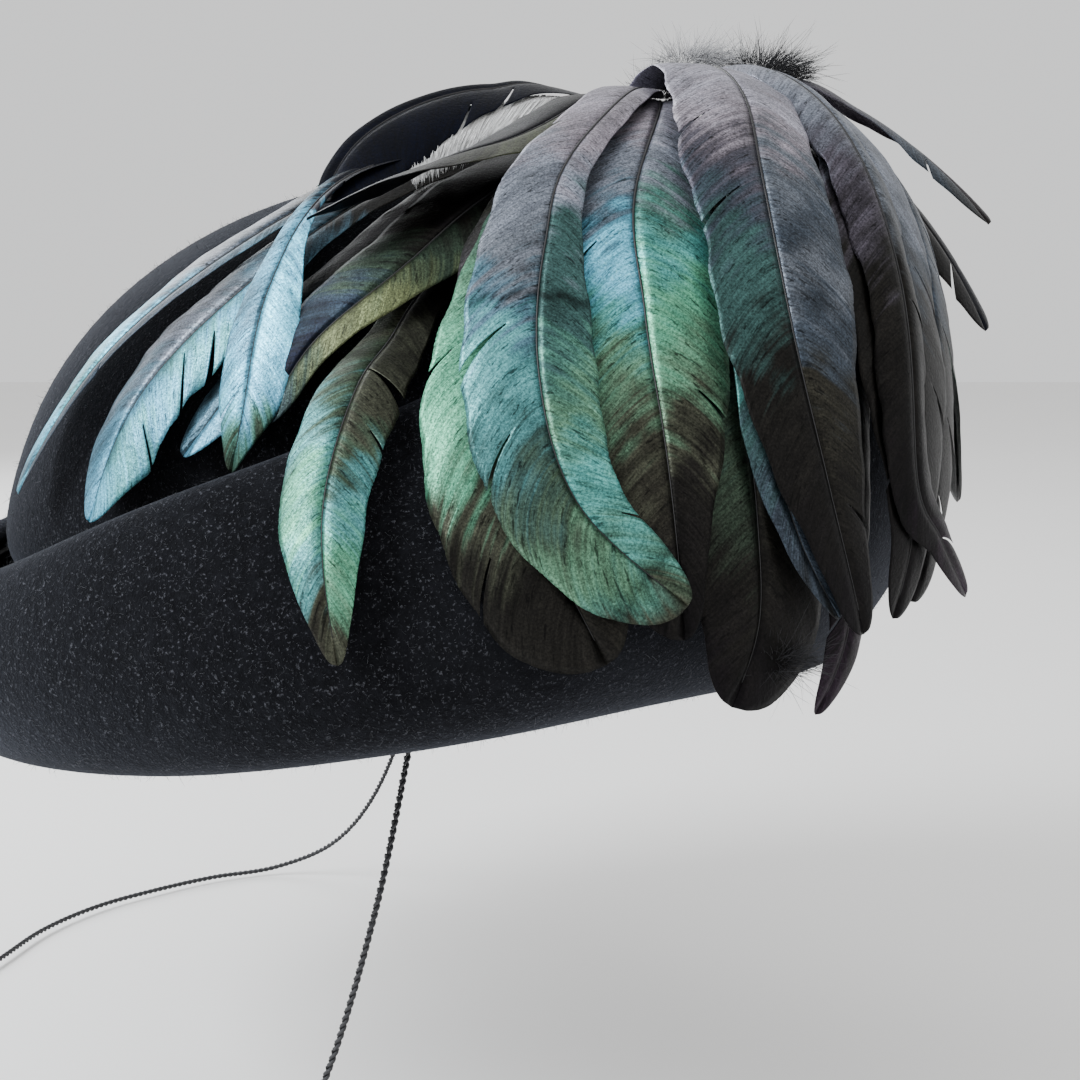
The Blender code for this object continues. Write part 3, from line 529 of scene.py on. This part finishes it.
def tube(path, radii, sides):
    """Points and faces of a closed tube along a path."""
    path = np.asarray(path, float)
    tangent = unit(np.gradient(path, axis=0))
    guide = np.where(np.abs(tangent[:, 2:3]) > 0.9, (1.0, 0.0, 0.0), (0.0, 0.0, 1.0))
    side = unit(np.cross(tangent, guide))
    other = np.cross(tangent, side)
    turn = np.linspace(0.0, math.tau, sides, endpoint=False)
    ring = side[:, None] * np.cos(turn)[None, :, None] + other[:, None] * np.sin(turn)[None, :, None]
    points = (path[:, None] + ring * np.asarray(radii)[:, None, None]).reshape(-1, 3)
    faces = []
    for row in range(len(path) - 1):
        for step in range(sides):
            after = (step + 1) % sides
            faces.append((row * sides + step, row * sides + after,
                          (row + 1) * sides + after, (row + 1) * sides + step))
    faces.append(tuple(range(sides))[::-1])
    last = (len(path) - 1) * sides
    faces.append(tuple(range(last, last + sides)))
    return points, faces


def smooth_copy(node, name, material, levels):
    """A rounded copy of a CAD node: its quads again, then subdivision."""
    shape = bmesh.new()
    shape.from_mesh(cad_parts[node].data)
    bmesh.ops.remove_doubles(shape, verts=shape.verts, dist=1e-5)
    bmesh.ops.join_triangles(
        shape, faces=shape.faces, angle_face_threshold=math.radians(60),
        angle_shape_threshold=math.radians(60))
    bmesh.ops.recalc_face_normals(shape, faces=shape.faces)
    mesh = bpy.data.meshes.new(name)
    shape.to_mesh(mesh)
    shape.free()
    mesh.materials.clear()
    mesh.materials.append(material)
    mesh.shade_smooth()
    obj = bpy.data.objects.new(name, mesh)
    bpy.context.collection.objects.link(obj)
    rounding = obj.modifiers.new("rounding", "SUBSURF")
    rounding.levels = rounding.render_levels = levels
    bpy.context.view_layer.update()
    evaluated = obj.evaluated_get(bpy.context.evaluated_depsgraph_get())
    final = bpy.data.meshes.new_from_object(evaluated)
    obj.modifiers.clear()
    obj.data = final
    final.shade_smooth()
    return obj


# Materials


class Nodes:
    """Short names for building one node material."""

    def __init__(self, name):
        self.material = bpy.data.materials.new(name)
        self.material.use_nodes = True
        self.tree = self.material.node_tree
        self.shader = self.tree.nodes["Principled BSDF"]

    def add(self, kind, inputs=None, **settings):
        node = self.tree.nodes.new(kind)
        for key, value in settings.items():
            setattr(node, key, value)
        for key, value in (inputs or {}).items():
            self.put(node.inputs[key], value)
        return node

    def put(self, socket, value):
        if isinstance(value, bpy.types.NodeSocket):
            self.tree.links.new(value, socket)
        else:
            socket.default_value = value

    def set(self, **values):
        for key, value in values.items():
            self.put(self.shader.inputs[key.replace("_", " ")], value)

    def object_place(self):
        return self.add("ShaderNodeTexCoord").outputs["Object"]

    def noise(self, place, scale, detail=3.0, roughness=0.55):
        values = {"Vector": place, "Scale": scale, "Detail": detail, "Roughness": roughness}
        return self.add("ShaderNodeTexNoise", values).outputs["Fac"]

    def ramp(self, value, low, high, start=0.0, end=1.0):
        values = {"Value": value, "From Min": low, "From Max": high, "To Min": start, "To Max": end}
        return self.add("ShaderNodeMapRange", values).outputs["Result"]

    def math(self, operation, first, second=0.0):
        node = self.add("ShaderNodeMath", operation=operation)
        self.put(node.inputs[0], first)
        self.put(node.inputs[1], second)
        return node.outputs[0]

    def mix(self, share, first, second, blend="MIX"):
        node = self.add("ShaderNodeMix", data_type="RGBA", blend_type=blend)
        self.put(node.inputs["Factor"], share)
        self.put(node.inputs["A"], first)
        self.put(node.inputs["B"], second)
        return node.outputs["Result"]

    def stretch(self, place, scale):
        node = self.add("ShaderNodeMapping", {"Vector": place, "Scale": scale})
        return node.outputs["Vector"]

    def bump(self, height, strength, distance, normal=None):
        values = {"Height": height, "Strength": strength, "Distance": distance}
        node = self.add("ShaderNodeBump", values)
        if normal is not None:
            self.put(node.inputs["Normal"], normal)
        return node.outputs["Normal"]


def felt_material(name):
    made = Nodes(name)
    place = made.object_place()
    clumps = made.noise(place, 420.0, 4.0, 0.7)
    fibres = made.noise(place, 1500.0, 3.0, 0.7)
    worn = made.noise(place, 26.0, 3.0)
    base = made.mix(made.ramp(clumps, 0.42, 0.72), (0.001, 0.001, 0.0014, 1), (0.0045, 0.0047, 0.006, 1))
    base = made.mix(made.ramp(fibres, 0.58, 0.72), base, (0.06, 0.062, 0.072, 1))
    base = made.mix(made.ramp(worn, 0.5, 0.8, 0.0, 0.35), base, (0.012, 0.013, 0.016, 1))
    made.set(Base_Color=base, Roughness=made.ramp(clumps, 0.3, 0.8, 0.9, 1.0))
    made.set(Normal=made.bump(fibres, 0.6, 0.0003, made.bump(clumps, 0.6, 0.0006)))
    made.shader.inputs["Sheen Weight"].default_value = 0.11
    made.shader.inputs["Sheen Roughness"].default_value = 0.5
    made.shader.inputs["Sheen Tint"].default_value = (0.62, 0.68, 0.85, 1.0)
    made.shader.inputs["Specular IOR Level"].default_value = 0.06
    return made.material


def vane_material():
    """Feather vane: tint from its points, broken by streaks along the barbs and by fine specks, among them
    painted glints where the tint is brightened.
    """
    made = Nodes("coque_vane")
    tint = made.add("ShaderNodeAttribute", attribute_name="tint").outputs["Color"]
    barb = made.add("ShaderNodeAttribute", attribute_name="barb").outputs["Vector"]
    streak = made.noise(made.stretch(barb, (2.0, 0.13, 1.0)), 1.0, 4.0, 0.75)
    patch = made.noise(made.stretch(barb, (0.16, 0.1, 1.0)), 1.0, 3.0, 0.6)
    dash = made.noise(made.stretch(barb, (1.5, 0.5, 1.0)), 1.0, 2.0, 0.5)
    grain = made.noise(made.object_place(), 2300.0, 2.0, 0.7)
    glint = made.noise(made.object_place(), 1300.0, 2.0, 0.6)
    shade = made.ramp(streak, 0.3, 0.7, 0.4, 1.3)
    shade = made.math("MULTIPLY", shade, made.ramp(patch, 0.35, 0.65, 0.7, 1.25))
    shade = made.math("MULTIPLY", shade, made.ramp(grain, 0.35, 0.65, 0.55, 1.4))
    shade = made.math("MULTIPLY", shade, made.ramp(dash, 0.61, 0.69, 1.0, 0.28))
    colour = made.mix(1.0, tint, shade, "MULTIPLY")
    # Painted glints: fine specks where the tint is brightened towards its own screen blend.
    colour = made.mix(made.ramp(glint, 0.6, 0.72, 0.0, 0.5), colour, made.mix(1.0, tint, tint, "SCREEN"))
    made.set(Base_Color=colour, Metallic=0.7)
    made.set(Roughness=made.ramp(grain, 0.3, 0.75, 0.5, 0.34))
    made.set(Normal=made.bump(streak, 0.35, 0.00016, made.bump(glint, 0.35, 0.00025)))
    made.shader.inputs["Specular IOR Level"].default_value = 0.2
    return made.material


def plain_material(name, dark, light, roughness, scale, bump=0.3, distance=0.0002, stretch=(1, 1, 1)):
    """A finely mottled material between two colours."""
    made = Nodes(name)
    place = made.stretch(made.object_place(), stretch)
    mottle = made.noise(place, scale, 3.0)
    made.set(Base_Color=made.mix(mottle, (*dark, 1), (*light, 1)))
    made.set(Roughness=made.ramp(mottle, 0.2, 0.8, roughness, roughness * 0.8))
    made.set(Normal=made.bump(mottle, bump, distance))
    return made.material


def ribbed_material():
    """Grosgrain: fine upright ribs."""
    made = Nodes("grosgrain")
    place = made.object_place()
    wave = made.add("ShaderNodeTexWave", {"Vector": place, "Scale": 260.0, "Distortion": 0.6},
                    bands_direction="Z").outputs["Fac"]
    made.set(Base_Color=made.mix(wave, (0.006, 0.006, 0.007, 1), (0.03, 0.03, 0.034, 1)))
    made.set(Roughness=made.ramp(wave, 0.0, 1.0, 0.75, 0.5), Normal=made.bump(wave, 0.7, 0.0004))
    return made.material


def floor_material():
    made = Nodes("pale_floor")
    mottle = made.noise(made.object_place(), 3.0)
    made.set(Base_Color=made.mix(mottle, (0.84, 0.83, 0.82, 1), (0.88, 0.87, 0.86, 1)), Roughness=0.7)
    return made.material


# Camera, light and floor


def add_camera():
    data = bpy.data.cameras.new("camera")
    data.lens = CAMERA_LENS
    data.sensor_width = 36.0
    data.clip_start = 0.01
    camera = bpy.data.objects.new("camera", data)
    camera.location = CAMERA_PLACE
    camera.rotation_euler = (math.radians(90.0 + CAMERA_PITCH), 0.0, 0.0)
    bpy.context.collection.objects.link(camera)
    bpy.context.scene.camera = camera


def add_area_light(name, place, size, power, colour):
    data = bpy.data.lights.new(name, "AREA")
    data.size = size
    data.energy = power
    data.color = colour
    light = bpy.data.objects.new(name, data)
    light.location = place
    light.rotation_euler = (Vector(LIT_PLACE) - Vector(place)).to_track_quat("-Z", "Y").to_euler()
    bpy.context.collection.objects.link(light)


def add_lights():
    for name, (place, size, power, colour) in LIGHTS.items():
        add_area_light(name, place, size, power, colour)
    world = bpy.data.worlds.new("studio")
    world.use_nodes = True
    sky = world.node_tree.nodes["Background"]
    sky.inputs["Color"].default_value = WORLD_COLOUR
    sky.inputs["Strength"].default_value = WORLD_STRENGTH
    bpy.context.scene.world = world


def add_floor():
    half = FLOOR_SIZE / 2
    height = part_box("elastic_cord")[0].z - FLOOR_DROP
    mesh = bpy.data.meshes.new("floor")
    corners = [(-half, -half, height), (half, -half, height), (half, half, height), (-half, half, height)]
    mesh.from_pydata(corners, [], [(0, 1, 2, 3)])
    mesh.materials.append(floor_material())
    floor = bpy.data.objects.new("floor", mesh)
    bpy.context.collection.objects.link(floor)


# Elastic


def add_elastic():
    """Two plies twisted round the route of the elastic's solid."""
    path = spline(ELASTIC_ROUTE, np.linspace(0.0, 1.0, ELASTIC_SAMPLES))
    steps = np.linalg.norm(np.diff(path, axis=0), axis=1)
    run = np.concatenate([[0.0], np.cumsum(steps)])
    length = run[-1]
    even = np.linspace(0.0, length, int(length / ELASTIC_STEP))
    middle = np.stack([np.interp(even, run, column) for column in path.T], axis=-1)
    tangent = unit(np.gradient(middle, axis=0))
    side = unit(np.cross(tangent, (0.23, 0.41, 0.88)))
    other = np.cross(tangent, side)
    ply = ELASTIC_DIAMETER / 4
    phase = math.tau * even / ELASTIC_PITCH
    points, faces = [], []
    for turn in (0.0, math.pi):
        swing = side * np.cos(phase + turn)[:, None] + other * np.sin(phase + turn)[:, None]
        radii = np.full(len(middle), ply * PLY_SWELL)
        strand, strand_faces = tube(middle + swing * ply, radii, PLY_SIDES)
        offset = sum(len(part) for part in points)
        points.append(strand)
        faces += [tuple(vertex + offset for vertex in face) for face in strand_faces]
    material = plain_material("black_elastic", (0.004, 0.004, 0.005), (0.035, 0.035, 0.04), 0.6, 2400.0,
                              0.6, 0.0002)
    cord = new_object("twisted_elastic", np.concatenate(points), faces, material)
    finish_piece(cord, "elastic", "elastic_cord")


# Felt


def sample_surface(obj, count):
    """Points spread evenly over a mesh, with their normals, in millimetres."""
    mesh = obj.data
    mesh.calc_loop_triangles()
    corners = np.zeros(len(mesh.vertices) * 3)
    mesh.vertices.foreach_get("co", corners)
    corners = corners.reshape(-1, 3) / MM
    triangles = np.zeros(len(mesh.loop_triangles) * 3, int)
    mesh.loop_triangles.foreach_get("vertices", triangles)
    a, b, c = np.moveaxis(corners[triangles.reshape(-1, 3)], 1, 0)
    cross = np.cross(b - a, c - a)
    area = np.linalg.norm(cross, axis=1)
    chosen = RNG.choice(len(area), count, p=area / area.sum())
    u, v = RNG.random(count), RNG.random(count)
    flip = u + v > 1
    u, v = np.where(flip, 1 - u, u)[:, None], np.where(flip, 1 - v, v)[:, None]
    points = a[chosen] + (b - a)[chosen] * u + (c - a)[chosen] * v
    return points, unit(cross[chosen])


def hairs(name, roots, directions, lengths, radius, droop, material, rows=3):
    """Fine tapering hairs, each a three-sided spike that bends as it leaves its root."""
    count = len(roots)
    bend = RNG.normal(size=(count, 3)) * droop
    side = unit(np.cross(directions, RNG.normal(size=(count, 3))))
    other = np.cross(directions, side)
    rings = []
    for row in range(rows):
        share = row / rows
        middle = roots + (directions * share + bend * share**2) * lengths[:, None]
        for step in range(3):
            turn = math.tau * step / 3
            spoke = side * math.cos(turn) + other * math.sin(turn)
            rings.append(middle + spoke * radius * (1 - HAIR_TAPER * share))
    rings.append(roots + (directions + bend) * lengths[:, None])
    points = np.stack(rings, axis=1).reshape(-1, 3)
    size = 3 * rows + 1
    pattern = [(2, 1, 0)]
    for row in range(rows - 1):
        for step in range(3):
            after = (step + 1) % 3
            low, high = 3 * row, 3 * row + 3
            pattern += [(low + step, low + after, high + after), (low + step, high + after, high + step)]
    top = 3 * (rows - 1)
    pattern += [(top + step, top + (step + 1) % 3, size - 1) for step in range(3)]
    faces = (np.arange(count)[:, None, None] * size + np.array(pattern)[None]).reshape(-1, 3)
    return new_object(name, points, faces.tolist(), material)


def add_nap(felt, name, count, material, length, radius, stand):
    """Loose fibres that stand out of a felt surface."""
    roots, normals = sample_surface(felt, count)
    lean = unit(RNG.normal(size=(count, 3)))
    directions = unit(normals * stand + lean)
    lengths = length * RNG.uniform(0.4, 1.3, count)
    piece = hairs(name, roots, directions, lengths, radius, NAP_DROOP, material)
    finish_piece(piece, "felt")


def add_felt():
    felt = felt_material("black_felt")
    dark = plain_material("dark_fibre", (0.004, 0.004, 0.006), (0.03, 0.032, 0.04), 0.8, 900.0, 0.0)
    light = plain_material("light_fibre", (0.03, 0.032, 0.04), (0.24, 0.25, 0.28), 0.7, 900.0, 0.0)
    crown = finish_piece(smooth_copy("felt_crown", "crown_felt", felt, 2), "felt", "felt_crown")
    brim = finish_piece(smooth_copy("felt_brim", "brim_felt", felt, 3), "felt", "felt_brim")
    for label, piece in (("crown", crown), ("brim", brim)):
        count = int(NAP[label] * (1.0))
        add_nap(piece, f"{label}_nap_0", count, dark, **DARK_NAP)
        add_nap(piece, f"{label}_nap_1", count, dark, **DARK_NAP)
        add_nap(piece, f"{label}_nap_light", count, light, **LIGHT_NAP)


def add_inside():
    lining = plain_material("black_lining", (0.012, 0.012, 0.014), (0.035, 0.035, 0.04), 0.42, 500.0, 0.4)
    thread = plain_material("black_thread", (0.006, 0.006, 0.008), (0.04, 0.04, 0.045), 0.55, 1800.0, 0.8,
                            0.0003, (1, 1, 4))
    wire = plain_material("covered_wire", (0.01, 0.01, 0.01), (0.04, 0.04, 0.04), 0.8, 1500.0)
    finish_piece(smooth_copy("crown_lining", "satin_lining", lining, 1), "lining", "crown_lining")
    finish_piece(smooth_copy("petersham_band", "grosgrain_band", ribbed_material(), 1), "ribbon",
                 "petersham_band")
    pad_felt = felt_material("pad_felt")
    finish_piece(smooth_copy("feather_pad", "felt_pad", pad_felt, 1), "felt", "feather_pad")
    finish_piece(smooth_copy("quill_binding", "wound_thread", thread, 2), "thread", "quill_binding")
    for end in ("front", "back"):
        node = "elastic_tack_" + end
        finish_piece(smooth_copy(node, "thread_tack_" + end, thread, 2), "thread", node)
    wire_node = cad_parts["brim_edge_wire"]
    wire_node.data.materials.clear()
    wire_node.data.materials.append(wire)


# Feathers


def tint_at(stops, shares):
    """Colour between named stops, and the end colours beyond them."""
    places = [place for place, _ in stops]
    colours = np.array([linear(name) for _, name in stops])
    return np.stack([np.interp(shares, places, channel) for channel in colours.T], axis=-1)


def half_width(spec, side, share):
    """How far one vane reaches from the shaft at this share of its length, down to a rounded tip."""
    if "halves" not in spec:
        swell = np.clip((share - VANE_START) / (VANE_FULL - VANE_START), 0.0, 1.0)
        body = QUILL_WIDTH + (spec["width"] - QUILL_WIDTH) * (1.0 - (1.0 - swell) ** 2)
        taper = np.clip((share - VANE_TAPER) / (1.0 - VANE_TAPER), 0.0, 1.0)
        return body * np.sqrt(np.maximum(1.0 - taper**2.4, 0.0)) / 2
    places, sizes = zip(*spec["halves"][0 if side > 0 else 1])
    blur = np.linspace(-HALF_BLUR, HALF_BLUR, HALF_SAMPLES)
    body = sum(np.interp(share + shift, places, sizes) for shift in blur) / len(blur)
    tip = np.clip((share - TIP_START) / (1.0 - TIP_START), 0.0, 1.0)
    return body * np.sqrt(1.0 - tip**2)


def barb_grid(shaft, spec, side, seed):
    """A vane's grid of points: the end of each barb along the shaft, the share of the way out to the
    vane's edge, and how far each point lies along the shaft and aside from it."""
    start = VANE_START * shaft.length
    rows = int((shaft.length - start) / BARB_STEP)
    ends = np.linspace(start, shaft.length, rows)[:, None]
    out = np.linspace(0.0, 1.0, BARB_COLUMNS)[None, :]
    width = half_width(spec, side, ends / shaft.length)
    depth, pace = EDGE_WAVE
    ragged = 1.0 - EDGE_FRAY * RNG.random((rows, 1)) ** 4 - depth * np.sin(ends * pace + seed)
    sweep = BARB_SWEEP * width + TIP_SWEEP * (ends / shaft.length) ** 6
    roots = np.maximum(ends - sweep, start * 0.6)
    along = roots + (ends - roots) * out**1.25
    aside = width * ragged * (1.0 - (1.0 - out) ** 1.2)
    return ends, out, along, aside


def vane_rise(ends, aside, half, seed):
    """The vane's section: cambered, dipped beside the shaft, and waved towards its edge."""
    off = aside / half
    rise = CAMBER * (CAMBER_SHIFT - off**2) - GROOVE * np.exp(-((aside / GROOVE_WIDTH) ** 2))
    height, spacing = LONG_WAVE
    rise = rise + height * np.sin(ends / spacing + seed * 2.3) * off**2
    height, spacing = SHORT_WAVE
    return rise + height * np.sin(ends / spacing + seed * 5.1) * off**3


def open_splits(splits, length, ends, out, along, rise):
    """Part the barbs at each split, and find the faces that would bridge it."""
    bridged = np.zeros((len(ends) - 1, BARB_COLUMNS - 1), bool)
    for place, _, depth, gap in splits:
        centre = place * length
        past = np.clip((out - depth) / (1.0 - depth), 0.0, 1.0)
        near = np.exp(-np.abs(ends - centre) / SPLIT_REACH)
        along = along + np.sign(ends - centre) * gap / 2 * near * past**1.3
        rise = rise - SPLIT_DIP * near * past * (ends > centre)
        row = int(np.searchsorted(ends[:, 0], centre)) - 1
        bridged[row, out[0, 1:] > depth] = True
    return np.clip(along, 0.0, length), rise, bridged


def vane_colours(spec, side, seed, ends, out, share, aside):
    """Tints at shares of the length, with drifting boundaries and the darker fault bars."""
    drift = SLOW_DRIFT * np.sin(aside * 0.5 + ends * 0.11 + seed)
    drift = drift + QUICK_DRIFT * np.sin(ends * 0.7 + aside * 1.1 + seed)
    loose = RNG.normal(size=len(ends) + TEETH_BARBS - 1)
    teeth = np.convolve(loose, np.ones(TEETH_BARBS) / TEETH_BARBS, "valid")[:, None]
    drift = drift + TEETH_DRIFT * teeth + BARB_DRIFT * RNG.normal(size=(len(ends), 1))
    colours = tint_at(spec["left" if side > 0 else "right"], share + drift)
    for place, strength in spec.get("bars", ()):
        gap = (share - place - 0.012 * out + 0.004 * np.sin(aside * 1.1 + seed)) / BAR_WIDTH
        colours = colours * (1.0 - strength * np.exp(-(gap**2)))[..., None]
    return colours


def vane_side(shaft, spec, side, seed):
    """One vane as rows of barbs: points, faces, tints and barb places.

    A barb place is the barb's end along the shaft, the way aside, and a number of the vane's own.
    """
    ends, out, along, aside = barb_grid(shaft, spec, side, seed)
    rise = vane_rise(ends, aside, spec["width"] / 2, seed)
    splits = [split for split in spec.get("splits", ()) if split[1] == side]
    along, rise, bridged = open_splits(splits, shaft.length, ends, out, along, rise)
    points = shaft.point(along, aside * side, rise)
    quads = grid_faces(len(ends), BARB_COLUMNS)
    if side < 0:
        quads = quads[..., ::-1]
    colours = vane_colours(spec, side, seed, ends, out, along / shaft.length, aside)
    barbs = np.stack([ends + 0 * out + seed * 40.0, aside, np.full_like(aside, seed * 7.0 + side)], axis=-1)
    return points, quads[~bridged], colours, barbs


def add_vanes(name, shaft, spec, vane, seed):
    """Both vanes of a feather as one thin skin."""
    points, faces, colours, barbs = [], [], [], []
    for side in (1, -1):
        offset = sum(len(part) for part in points)
        made = vane_side(shaft, spec, side, seed + 0.37 * side)
        points.append(made[0].reshape(-1, 3))
        faces.append(made[1] + offset)
        colours.append(made[2].reshape(-1, 3))
        barbs.append(made[3].reshape(-1, 3))
    colours = np.concatenate(colours)
    colours = np.concatenate([colours, np.ones((len(colours), 1))], axis=1)
    attributes = (("tint", "FLOAT_COLOR", colours), ("barb", "FLOAT_VECTOR", np.concatenate(barbs)))
    blade = new_object(name, np.concatenate(points), np.concatenate(faces).tolist(), vane, attributes)
    skin = blade.modifiers.new("skin", "SOLIDIFY")
    skin.thickness = VANE_THICKNESS * MM
    skin.offset = 0.0
    return blade


def add_stem(name, shaft, horn):
    """The shaft itself, in the groove between the vanes, thinner towards the tip."""
    reach = shaft.length - TIP_SWEEP
    along = np.linspace(0.0, reach, int(reach / SHAFT_STEP))
    rise = CAMBER * CAMBER_SHIFT - GROOVE + SHAFT_RISE
    middle = shaft.point(along, along * 0.0, np.full(len(along), rise))
    radii = SHAFT_RADIUS * (1.0 - SHAFT_TAPER * (along / reach) ** 0.7)
    stem, faces = tube(middle, radii, SHAFT_SIDES)
    return new_object(name, stem, faces, horn)


def add_feathers():
    vane = vane_material()
    horn = plain_material("shaft_horn", (0.003, 0.003, 0.004), (0.012, 0.011, 0.012), 0.5, 600.0, 0.1)
    for index, (name, spec) in enumerate(FEATHERS.items()):
        shaft = Shaft(spec["stops"])
        short = name.replace("feather_", "coque_")
        finish_piece(add_vanes(short + "_vane", shaft, spec, vane, index + 1.0), "coque", name)
        finish_piece(add_stem(short + "_shaft", shaft, horn), "coque")


# Down and wisps


def add_down():
    """Fluff: a pale and a dark tuft at the knot, dark filling between the quills, and some at the hem."""
    shades = {
        "pale": plain_material("pale_down", (0.22, 0.22, 0.23), (0.6, 0.6, 0.61), 0.8, 700.0, 0.0),
        "dark": plain_material("dark_down", (0.004, 0.004, 0.005), (0.016, 0.016, 0.02), 0.8, 700.0, 0.0),
    }
    for name, (node, shade, count, middle, size) in DOWN.items():
        spread = unit(RNG.normal(size=(count, 3))) * RNG.random((count, 1)) ** 0.5
        directions = unit(spread * np.array(DOWN_FLATTEN) + np.array(DOWN_LEAN))
        lengths = RNG.uniform(*DOWN_LENGTH, count)
        roots = np.array(middle) + spread * np.array(size)
        tuft = hairs(name, roots, directions, lengths, DOWN_RADIUS, DOWN_DROOP, shades[shade], DOWN_ROWS)
        finish_piece(tuft, shade + "_down", *filter(None, [node]))


def add_wisps():
    """Long pale barbs that hang below the black feather on the left."""
    shaft = Shaft(FEATHERS["feather_left_05"]["stops"])
    along = RNG.uniform(WISP_START, WISP_END, WISP_COUNT) * shaft.length
    ones = np.ones(WISP_COUNT)
    roots = shaft.point(along, -RNG.uniform(*WISP_ROOTS, WISP_COUNT), -WISP_ROOT_DROP * ones)
    ahead = np.minimum(along + WISP_RUN, shaft.length)
    tips = shaft.point(ahead, -WISP_TIPS * ones, -WISP_TIP_DROP * ones)
    lengths = np.linalg.norm(tips - roots, axis=1) * RNG.uniform(0.6, 1.0, WISP_COUNT)
    pale = plain_material("pale_barbs", (0.5, 0.5, 0.5), (0.85, 0.85, 0.85), 0.7, 700.0, 0.0)
    directions = unit(tips - roots)
    wisps = hairs("pale_wisps", roots, directions, lengths, WISP_RADIUS, WISP_DROOP, pale, DOWN_ROWS)
    finish_piece(wisps, "pale_down")


add_camera()
add_elastic()
add_floor()
add_lights()
add_felt()
add_inside()
add_feathers()
add_down()
add_wisps()
